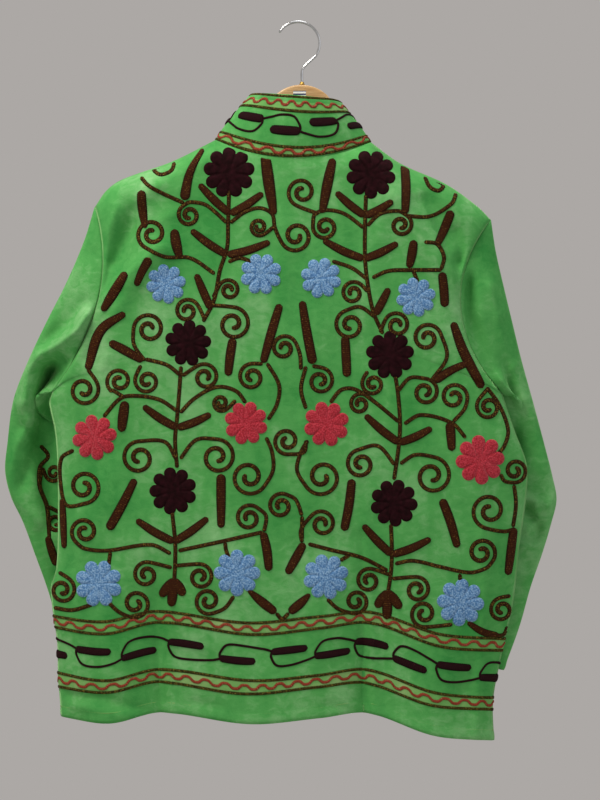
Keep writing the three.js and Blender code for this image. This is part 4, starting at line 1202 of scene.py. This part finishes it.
def sleeve_grid(hole, sections, folds, side):
    """Rings of points down a sleeve, from its armhole to its cuff. Each starts at the outer edge."""
    around, along = SLEEVE_STEPS["around"], SLEEVE_STEPS["along"]
    phi = 2 * np.pi * np.arange(around) / around
    x, z, reach = armhole_point(hole, phi)
    near = np.sin(phi) >= 0
    y = np.where(near, -reach["back"] - SEAM_GAP / 2, reach["front"] + SEAM_GAP / 2)
    y = np.where(np.abs(np.sin(phi)) < 1e-9, 0, y)
    rings = [np.stack([x + side * SEAM_GAP, y, z], axis=-1)]
    for ox, oz, oy, ix, iz, iy, bow, to_back, to_front, square in sections:
        c = np.cos(phi) * (1 + square * np.sin(phi) ** 2)
        s = np.sin(phi) * (1 + square * np.cos(phi) ** 2)
        t = (1 - c) / 2
        y = lerp(oy, iy, t) - np.where(s > 0, to_back, to_front) * s
        rings.append(np.stack([lerp(ox, ix, t) + bow * s * s, y, lerp(oz, iz, t)], axis=-1))
    rings = np.array(rings)
    middles = rings.mean(axis=1)
    keys = np.concatenate([[0], np.cumsum(np.linalg.norm(np.diff(middles, axis=0), axis=1))])
    grid = follow(keys, rings, np.linspace(0, keys[-1], along))
    s = np.sin(phi)
    lift = fold_height(folds, grid[..., 0], grid[..., 2]) + slack(grid[..., 0], grid[..., 2])
    start = smooth(0, 0.02, np.linspace(0, 1, along))[:, None]
    grid[..., 1] -= lift * np.where(s > 0, s, -0.45 * s) * start  # the far side follows a little
    return grid


def make_sleeve(name, hole, sections, folds, side):
    grid = sleeve_grid(hole, sections, folds, side)
    normal = grid_normals(grid, wraps=True)
    if np.einsum("ijk,ijk->", normal, grid - grid.mean(axis=1, keepdims=True)) < 0:
        normal = -normal
    share = np.linspace(0, 1, len(grid))[:, None]
    inner = grid - WALL * normal
    grid = grid + normal * turned_edge((1 - share) * SLEEVE_LENGTH, 5, 5, 0.9)[..., None]
    points, faces = wall(grid, inner, wraps=True)
    return make_piece(name, points, faces, VELVET, replaces=[name.replace("_velvet", "")])


class SleeveFace:
    """The back face of a sleeve, by x and z: it looks for the place in the sleeve's grid."""

    def __init__(self, grid):
        self.grid = grid

    def at(self, row, column):
        rows, columns = self.grid.shape[:2]
        row = np.clip(row, 0, rows - 1.001)
        column = np.clip(column, 1, columns / 2 - 1.001)
        i, j = row.astype(int), column.astype(int)
        down, across = (row - i)[..., None], (column - j)[..., None]
        upper = lerp(self.grid[i, j], self.grid[i, j + 1], across)
        return lerp(upper, lerp(self.grid[i + 1, j], self.grid[i + 1, j + 1], across), down)

    def __call__(self, x, z):
        row = np.full(np.shape(x), self.grid.shape[0] * 0.55)
        column = np.full(np.shape(x), self.grid.shape[1] * 0.2)
        for _ in range(14):
            here = self.at(row, column)
            by_row = self.at(row + 1, column) - here
            by_column = self.at(row, column + 1) - here
            dx, dz = x - here[..., 0], z - here[..., 2]
            scale = by_row[..., 0] * by_column[..., 2] - by_row[..., 2] * by_column[..., 0]
            row = row + (dx * by_column[..., 2] - dz * by_column[..., 0]) / scale
            column = column + (dz * by_row[..., 0] - dx * by_row[..., 2]) / scale
            row = np.clip(row, 0, self.grid.shape[0] - 2.1)
            column = np.clip(column, 1, self.grid.shape[1] / 2 - 2.1)
        return self.at(row, column)


def collar_limits():
    edge = math.asin(FRONT_GAP / (NECK_RIGHT[0] - NECK_LEFT[0]))
    return -math.pi + edge, math.pi - edge


def make_collar():
    low, high = collar_limits()
    around, rows = COLLAR_STEPS["around"], COLLAR_STEPS["up"]
    turn, up = np.meshgrid(np.linspace(low, high, around), np.linspace(0, 1, rows))
    grid = collar_surface(turn, up)
    normal = grid_normals(grid)
    normal *= -np.sign(normal[rows // 2, around // 2, 1])
    inner = grid - WALL * normal
    grid = grid + normal * turned_edge((1 - up) * COLLAR_REACH, 3, 4, 0.8)[..., None]
    points, faces = wall(grid, inner)
    return make_piece("collar_velvet", points, faces, VELVET, replaces=["collar"])


LABEL = {"left": -6, "right": 10, "foot": -103, "top": -87, "y": -34.1, "curl": 1.6, "thick": 0.6}


def make_label(material):
    """A short tape, sewn flat inside the collar's back, whose top curls a little."""
    x, up = np.meshgrid(np.linspace(LABEL["left"], LABEL["right"], 17), np.linspace(0, 1, 17))
    z = lerp(LABEL["foot"], LABEL["top"], up)
    y = LABEL["y"] + LABEL["curl"] * up**3 + 0.25 * np.sin(x / 3)
    grid = np.stack([x, y, z], axis=-1)
    inner = grid + np.array([0, LABEL["thick"], 0])
    points, faces = wall(grid, inner)
    return make_piece("label_tape", points, faces, material, replaces=["neck_label"])


# ---- Embroidery ----


STEM_HEIGHT = 1.3
CURL_HEIGHT = 1.4
BAR_HEIGHT = 1.9
TULIP_HEIGHT = 2.0
BAR_POINTS = 11  # across a bar, which is wider than a stem
LEAF_WIDTHS = (7.5, 11, 9.5)
TULIP_WIDTHS = {"side": (6, 13, 8), "middle": (6, 13, 9)}


def stitch_vines(stems, bars):
    for places in STEMS + LINES:
        stitch(stems, on_back, spline(from_layout(places)), (STEM, STEM, STEM), STEM_HEIGHT)
    for lead, centre, radius, way in SCROLLS:
        line = curl(from_layout(lead), from_layout(centre), radius * LAYOUT_STEP, way)
        stitch(stems, on_back, line, (STEM, STEM, STEM * 1.25), CURL_HEIGHT)
    for places, widths in BARS:
        line = spline(from_layout(places))
        stitch(bars, on_back, line, [1.08 * w * LAYOUT_STEP for w in widths], BAR_HEIGHT, BAR_POINTS)
    for tip, joint in LEAVES:
        tip, joint = from_layout(tip), from_layout(joint)
        sag = np.array([0, 0.1 * abs(tip[0] - joint[0])])
        line = spline([tip, (tip + joint) / 2 - sag * 0.4, joint])
        stitch(bars, on_back, line, LEAF_WIDTHS, BAR_HEIGHT, BAR_POINTS)
    for foot, left, right, bottom in TULIPS:
        foot, left, right, bottom = from_layout([foot, left, right, bottom])
        for tip in (left, right):
            line = spline([foot, lerp(foot, tip, 0.55), tip])
            stitch(bars, on_back, line, TULIP_WIDTHS["side"], BAR_HEIGHT, BAR_POINTS)
        line = spline([foot, lerp(foot, bottom, 0.6), bottom])
        stitch(bars, on_back, line, TULIP_WIDTHS["middle"], TULIP_HEIGHT, BAR_POINTS)


def stitch_forearm(stems, bars):
    on_sleeve = SleeveFace(sleeve_grid(ARMHOLE_LEFT, SLEEVE_LEFT, LEFT_SLEEVE_FOLDS, -1))
    lines = [spline(from_layout(places)) for places in ARM_LINES]
    for lead, centre, radius, way in ARM_SCROLLS:
        lines.append(curl(from_layout(lead), from_layout(centre), radius * LAYOUT_STEP, way))
    for line in lines:
        stitch(stems, on_sleeve, line, (STEM, STEM, STEM), STEM_HEIGHT, inside=ARM_INSIDE)
    for places, widths in ARM_BARS:
        line = spline(from_layout(places))
        widths = [w * LAYOUT_STEP for w in widths]
        stitch(bars, on_sleeve, line, widths, BAR_HEIGHT, BAR_POINTS, inside=ARM_INSIDE)


FLOWER_STEPS = {"around": 144, "out": 26}
PETAL_REACH = {8: 0.72, 9: 0.74}  # from the flower's middle to a petal's, over the flower's radius


def stitch_flower(stitching, x, z, radius, first, petals, height):
    """A flower of round petals: a domed polar grid with a groove between petals."""
    around, rows = FLOWER_STEPS["around"], FLOWER_STEPS["out"]
    turn = 2 * np.pi * np.arange(around) / around
    share = np.sin(np.linspace(0, np.pi / 2, rows))
    half = np.pi / petals
    offset = (turn - math.radians(first) + half) % (2 * half) - half
    reach = radius * PETAL_REACH[petals]
    lobe = radius - reach
    rim = reach * np.cos(offset) + np.sqrt((lobe**2 - (reach * np.sin(offset)) ** 2).clip(0))
    rho = share[:, None] * rim[None, :]
    u = x + rho * np.cos(turn)
    v = z + rho * np.sin(turn)
    edge = np.sqrt(1 - share[:, None] ** 8)
    gap = (half - np.abs(offset))[None, :] * rho
    groove = np.exp(-((gap / 1.6) ** 2)) * smooth(0.15, 0.5, rho / radius)
    middle = np.exp(-((rho / (0.13 * radius)) ** 2))
    lift = -0.6 + (height + 0.6) * edge * (1 - 0.35 * groove) - 0.6 * middle
    points = lay(on_back, u, v, lift)
    _, faces = grid_faces(rows, around, wraps=True)
    rim_share = np.broadcast_to(share[:, None], rho.shape)
    uv = np.stack([rho * np.cos(turn), rho * np.sin(turn), rim_share], axis=-1)
    stitching.add(points.reshape(-1, 3), faces, uv.reshape(-1, 3))


def stitch_flowers(places, petals, height):
    stitching = Stitching()
    for u, v, radius, first in places:
        x, z = from_layout((u, v))
        stitch_flower(stitching, x, z, radius * LAYOUT_STEP, first, petals, height)
    return stitching


def zigzag(low, high, level):
    """A rounded wave, a little uneven as hand work is."""
    s = np.arange(low, high, 1.2)
    phase = 2 * np.pi * s / ZIGZAG["pitch"] + 0.7 * np.sin(s / 61) + 0.4 * np.sin(s / 23)
    swing = np.sin(phase) + 0.12 * np.sin(3 * phase) + 0.15 * np.sin(s / 31)
    return np.stack([s, level + ZIGZAG["swing"] * swing], axis=1)


def stitch_band(threads, surface, low, high, levels, bars):
    """Two pairs of lines with a zigzag in each, and staggered bars joined by waves between the pairs."""
    lines, rust, maroon, pressed = threads
    s = np.arange(low, high, BAND_STEP)
    for level in levels:
        wander = 0.8 * np.sin(s / 37 + level)
        stitch(lines, surface, np.stack([s, level + wander], axis=1), [LINE_WIDTH] * 3, 1.2, 5)
    for upper, lower in ((levels[0], levels[1]), (levels[2], levels[3])):
        ground = np.stack([s, np.full(s.shape, (upper + lower) / 2)], axis=1)
        stitch(pressed, surface, ground, [abs(upper - lower)] * 3, 0.25, 9, 0.1)
        line = zigzag(low + 2, high - 2, (upper + lower) / 2)
        stitch(rust, surface, line, [ZIGZAG["width"]] * 3, 1.3, 5)
    half, length, width = bars["pitch"] / 2, bars["length"], bars["width"]

    def middle(n):
        even = bars["first"] + n * half
        return even + bars["drift"] * math.exp(-(((even - 10) / 110) ** 2))

    for n in range(math.floor((low - bars["first"]) / half), math.ceil((high - bars["first"]) / half)):
        level, other = (bars["upper"], bars["lower"]) if n % 2 == 0 else (bars["lower"], bars["upper"])
        start, end = middle(n) - length / 2, middle(n) + length / 2
        if start < low + 4 or end > high - 4:
            continue
        bar = spline([(start, level), (middle(n), level), (end, level)])
        stitch(maroon, surface, bar, (width * 0.85, width, width * 0.85), 1.8, 9)
        next_start = middle(n + 1) - length / 2
        if next_start > high - 8:
            continue
        away = 1 if level > other else -1
        wave = [
            (start + 1, level),
            (start + 1, lerp(level, other, 0.6)),
            (start + 9, other - away * 6.5),
            (start + 26, other - away * 8),
            (next_start - 9, other - away * 4),
            (next_start + 3, other),
        ]
        stitch(maroon, surface, spline(wave), (3.4, 3.4, 3.4), 1.2, 5)


def stitch_bands(threads):
    halfway = 0.5 - front_share()
    parameters = np.linspace(-halfway, 1 + halfway, 900)
    centre = 0.5
    hem_ruler = Ruler(lambda t: round_body(t, np.full(t.shape, HEM_MIDDLE)), parameters, centre)

    def hem_surface(s, height):
        return round_body(hem_ruler.at(s), height)

    low, high = hem_ruler.span()
    stitch_band(threads, hem_surface, low + BAND_END, high - BAND_END, HEM_LINES, HEM_BARS)
    s = np.arange(low + BAND_END, high - BAND_END, BAND_STEP)
    hem_seam = np.stack([s, np.full(s.shape, HEM_SEAM["height"])], axis=1)
    stitch(threads[3], hem_surface, hem_seam, [HEM_SEAM["width"]] * 3, 0.15, 5, 0.3)

    turns = np.linspace(*collar_limits(), 600)
    collar_ruler = Ruler(lambda t: collar_surface(t, np.full(t.shape, 0.5)), turns, 0.0)

    def collar_sheet(s, height):
        return collar_surface(collar_ruler.at(-s), height / COLLAR_HEIGHT)

    low, high = collar_ruler.span()
    levels = [share * COLLAR_HEIGHT for share in COLLAR_LINES]
    bars = dict(COLLAR_BARS)
    bars["upper"] *= COLLAR_HEIGHT
    bars["lower"] *= COLLAR_HEIGHT
    stitch_band(threads, collar_sheet, low + BAND_END, high - BAND_END, levels, bars)


# ---- Hanger ----

HANGER_X = 4
CROWN = {"z": -77, "radius": 47, "turn": 0.8}
HANGER_TOP = [(50, -114), (68, -146)]
ARM = {"start": 100, "end": 184, "under": 2.4, "end_depth": 22, "middle_foot": -150}
HANGER_HALF = 5
HANGER_STEPS = {"across": 161, "round": 32}
HANGER_EDGE = 0.28  # how sharp the wood's edges are: 0 is square and 1 is round
HOOK = {"wire": 1.75, "radius": 27, "stem_x": 5, "first": 150, "last": -40, "step": 6}
TUBE_SIDES = 24


def shoulder_z(x):
    width = ARMHOLE_RIGHT["top"][0] - ARMHOLE_LEFT["top"][0]
    return top_line((np.asarray(x, float) - ARMHOLE_LEFT["top"][0]) / width, 0)


def hanger_outline(x):
    """Top and bottom of the wood at x."""
    turn = np.linspace(0, CROWN["turn"], 12)
    crown = [(CROWN["radius"] * math.sin(t), CROWN["z"] - CROWN["radius"] * (1 - math.cos(t))) for t in turn]
    tops = []
    for side in (-1, 1):
        arm_x = np.linspace(ARM["start"], ARM["end"], 12)
        arm_z = shoulder_z(HANGER_X + side * arm_x) - WALL - ARM["under"]
        reach, height = zip(*crown, *HANGER_TOP, *zip(arm_x, arm_z))
        tops.append(np.interp(np.abs(x - HANGER_X), reach, height))
    top = np.where(x < HANGER_X, tops[0], tops[1])
    t = np.arccos(np.clip((x - HANGER_X) / ARM["end"], -1, 1)) / np.pi
    end_z = shoulder_z([HANGER_X + ARM["end"], HANGER_X - ARM["end"]])
    end_z = end_z - WALL - ARM["under"] - ARM["end_depth"]
    ends = lerp(end_z[0], end_z[1], t)
    return top, ends + (ARM["middle_foot"] - ends) * np.sin(np.pi * t) ** 3


def make_hanger(material):
    """A flat wooden hanger with rounded edges."""
    columns, sides = HANGER_STEPS["across"], HANGER_STEPS["round"]
    share = np.sin(np.linspace(-np.pi / 2, np.pi / 2, columns))
    x = HANGER_X + ARM["end"] * share
    top, bottom = hanger_outline(x)
    middle, half = (top + bottom) / 2, (top - bottom) / 2
    phi = 2 * np.pi * np.arange(sides) / sides
    c, s = np.cos(phi), np.sin(phi)
    round_z = np.sign(s) * np.abs(s) ** HANGER_EDGE
    round_y = np.sign(c) * np.abs(c) ** HANGER_EDGE
    ends = np.sqrt((1 - np.abs(share) ** 40).clip(0.02))
    grid = np.stack(
        [
            np.broadcast_to(x[:, None], (columns, sides)),
            HANGER_HALF * round_y * ends[:, None],
            middle[:, None] + half[:, None] * round_z * ends[:, None],
        ],
        axis=-1,
    )
    points = grid.reshape(-1, 3)
    _, faces = grid_faces(columns, sides, wraps=True)
    faces = outward(faces, points).tolist()
    caps = end_caps(columns, sides)
    if faces[0][0] < faces[0][1]:
        caps = [cap[::-1] for cap in caps]
    return make_piece("hanger_beech", points, faces + caps, material, replaces=["hanger_wood"])


def end_caps(rows, sides):
    """The faces that close both ends of a tube."""
    return [list(range(sides))[::-1], list(range((rows - 1) * sides, rows * sides))]


def make_tube(name, line, radii, material, replaces=()):
    """A round tube along a line in the plane y = 0, closed at both ends."""
    line = np.asarray(line, float)
    direction = np.gradient(line, axis=0)
    direction /= np.linalg.norm(direction, axis=1, keepdims=True)
    side = np.stack([-direction[:, 1], direction[:, 0]], axis=1)
    phi = 2 * np.pi * np.arange(TUBE_SIDES) / TUBE_SIDES
    radii = np.asarray(radii, float)[:, None]
    grid = np.stack(
        [
            line[:, :1] + side[:, :1] * radii * np.cos(phi),
            radii * np.sin(phi),
            line[:, 1:] + side[:, 1:] * radii * np.cos(phi),
        ],
        axis=-1,
    )
    _, faces = grid_faces(len(line), TUBE_SIDES, wraps=True)
    faces = faces.tolist() + end_caps(len(line), TUBE_SIDES)
    return make_piece(name, grid.reshape(-1, 3), faces, material, replaces=replaces)


def make_hook(material):
    """A round bend of wire, whose stem steps in to the middle of the wood."""
    wire, radius, stem_x = HOOK["wire"], HOOK["radius"], HOOK["stem_x"]
    centre_z = wire - radius
    angles = [math.radians(d) for d in range(HOOK["first"], HOOK["last"] - 1, -HOOK["step"])]
    bend = [(radius * math.cos(a), centre_z + radius * math.sin(a)) for a in angles]
    stem_top = centre_z - radius - 8
    stem = [(stem_x + 3, stem_top + 6), (stem_x, stem_top), (stem_x, CROWN["z"] + SEAM_GAP)]
    line = spline(bend + stem, 1.2)
    radii = np.full(len(line), wire)
    radii[:3] = (1.0, 1.5, 1.7)  # the wire's end is rounded
    return make_tube("hook_chrome", line, radii, material, ["hanger_hook"])


def make_ferrule(material):
    """The small turned cup where the hook enters the wood."""
    profile = [(0, 1.9), (0.3, 2.5), (2.2, 2.6), (2.6, 3.4), (3.4, 3.5), (3.8, 2.8)]  # depth, radius
    line = [(HOOK["stem_x"], CROWN["z"] + 3.6 - depth) for depth, _ in profile]
    return make_tube("hook_ferrule", line, [radius for _, radius in profile], material)


# ---- Put together ----


def make_jacket():
    back = make_panel("back_panel_velvet", "back", 0, 1)
    front_left = make_panel("front_left_velvet", "front", 0, 0.5 - front_share())
    front_right = make_panel("front_right_velvet", "front", 0.5 + front_share(), 1)
    sleeve_left = make_sleeve("sleeve_left_velvet", ARMHOLE_LEFT, SLEEVE_LEFT, LEFT_SLEEVE_FOLDS, -1)
    sleeve_right = make_sleeve("sleeve_right_velvet", ARMHOLE_RIGHT, SLEEVE_RIGHT, RIGHT_SLEEVE_FOLDS, 1)
    collar = make_collar()
    label = make_label(striped_tape())

    stems, bars, lines, rust, maroon, pressed = (Stitching() for _ in range(6))
    stitch_vines(stems, bars)
    stitch_forearm(stems, bars)
    stitch_bands((lines, rust, maroon, pressed))
    work = [
        stems.piece("vine_stems", STEM_THREAD, "thread_brown"),
        bars.piece("vine_leaves", BAR_THREAD, "thread_brown"),
        lines.piece("band_lines", BAND_THREAD, "thread_brown"),
        rust.piece("band_zigzags", RUST_THREAD, "thread_brown"),
        maroon.piece("band_bars", MAROON_THREAD, "thread_brown"),
        pressed.piece("band_grounds", PRESSED, "velvet"),
    ]
    kinds = (
        ("dark_flowers", DARK_FLOWERS, 9, 2.2, DARK_PILE, "applique_dark", range(1, 7)),
        ("blue_flowers", BLUE_FLOWERS, 8, 2.8, BLUE_LOOPS, "applique_blue", range(7, 15)),
        ("red_flowers", RED_FLOWERS, 8, 2.6, RED_LOOPS, "applique_red", range(15, 19)),
    )
    for name, places, petals, height, material, slot, numbers in kinds:
        nodes = [f"flower_{k:02d}" for k in numbers]
        work.append(stitch_flowers(places, petals, height).piece(name, material, slot, nodes))

    hanger = make_hanger(varnished_wood())
    make_hook(chromed_wire())
    make_ferrule(brass())


FLOOR = {"radius": 1050, "z": -1300, "sides": 96}


def make_floor():
    """A round floor, well under the hanging jacket."""
    angles = np.linspace(0, 2 * np.pi, FLOOR["sides"], endpoint=False)
    rim = [(FLOOR["radius"] * math.cos(a), FLOOR["radius"] * math.sin(a), FLOOR["z"]) for a in angles]
    mesh = bpy.data.meshes.new("floor")
    mesh.from_pydata((np.array(rim) * MM).tolist(), [], [list(range(FLOOR["sides"]))])
    mesh.materials.append(pale_floor())
    floor = bpy.data.objects.new("floor", mesh)
    bpy.context.collection.objects.link(floor)


def aim(obj, place, target):
    obj.location = place
    obj.rotation_euler = (Vector(target) - Vector(place)).to_track_quat("-Z", "Y").to_euler()


def make_light(name, place, target, size, power, colour):
    light = bpy.data.lights.new(name, "AREA")
    light.size = size
    light.energy = power
    light.color = linear(colour)[:3]
    obj = bpy.data.objects.new(name, light)
    bpy.context.collection.objects.link(obj)
    aim(obj, place, target)
    return obj


def make_studio():
    centre = (MIDDLE[0] * MM, 0.0, MIDDLE[1] * MM)
    world = bpy.data.worlds.new("grey room")
    world.use_nodes = True
    world.node_tree.nodes.clear()
    grey = add(world.node_tree, "Background", inputs={"Color": linear("#aca8a5"), "Strength": 1.0})
    add(world.node_tree, "OutputWorld", inputs={"Surface": grey})
    bpy.context.scene.world = world
    bpy.context.scene.view_settings.view_transform = "Standard"
    make_light("key", (-1.2, -1.1, 1.6), centre, 0.9, 46, "#fff8ee")
    make_light("fill", (1.7, -1.5, 0.1), centre, 1.6, 5, "#eef4ff")
    make_light("top", (0.1, -0.1, 1.8), centre, 1.0, 14, "#ffffff")

    distance = 5.0
    frame_height = 1.0  # what the camera sees from top to bottom, at the jacket
    camera_data = bpy.data.cameras.new("camera")
    camera_data.lens = camera_data.sensor_width * distance / frame_height
    camera = bpy.data.objects.new("camera", camera_data)
    bpy.context.collection.objects.link(camera)
    aim(camera, (centre[0], centre[1] - distance, centre[2]), centre)
    bpy.context.scene.camera = camera


make_jacket()
make_floor()
make_studio()
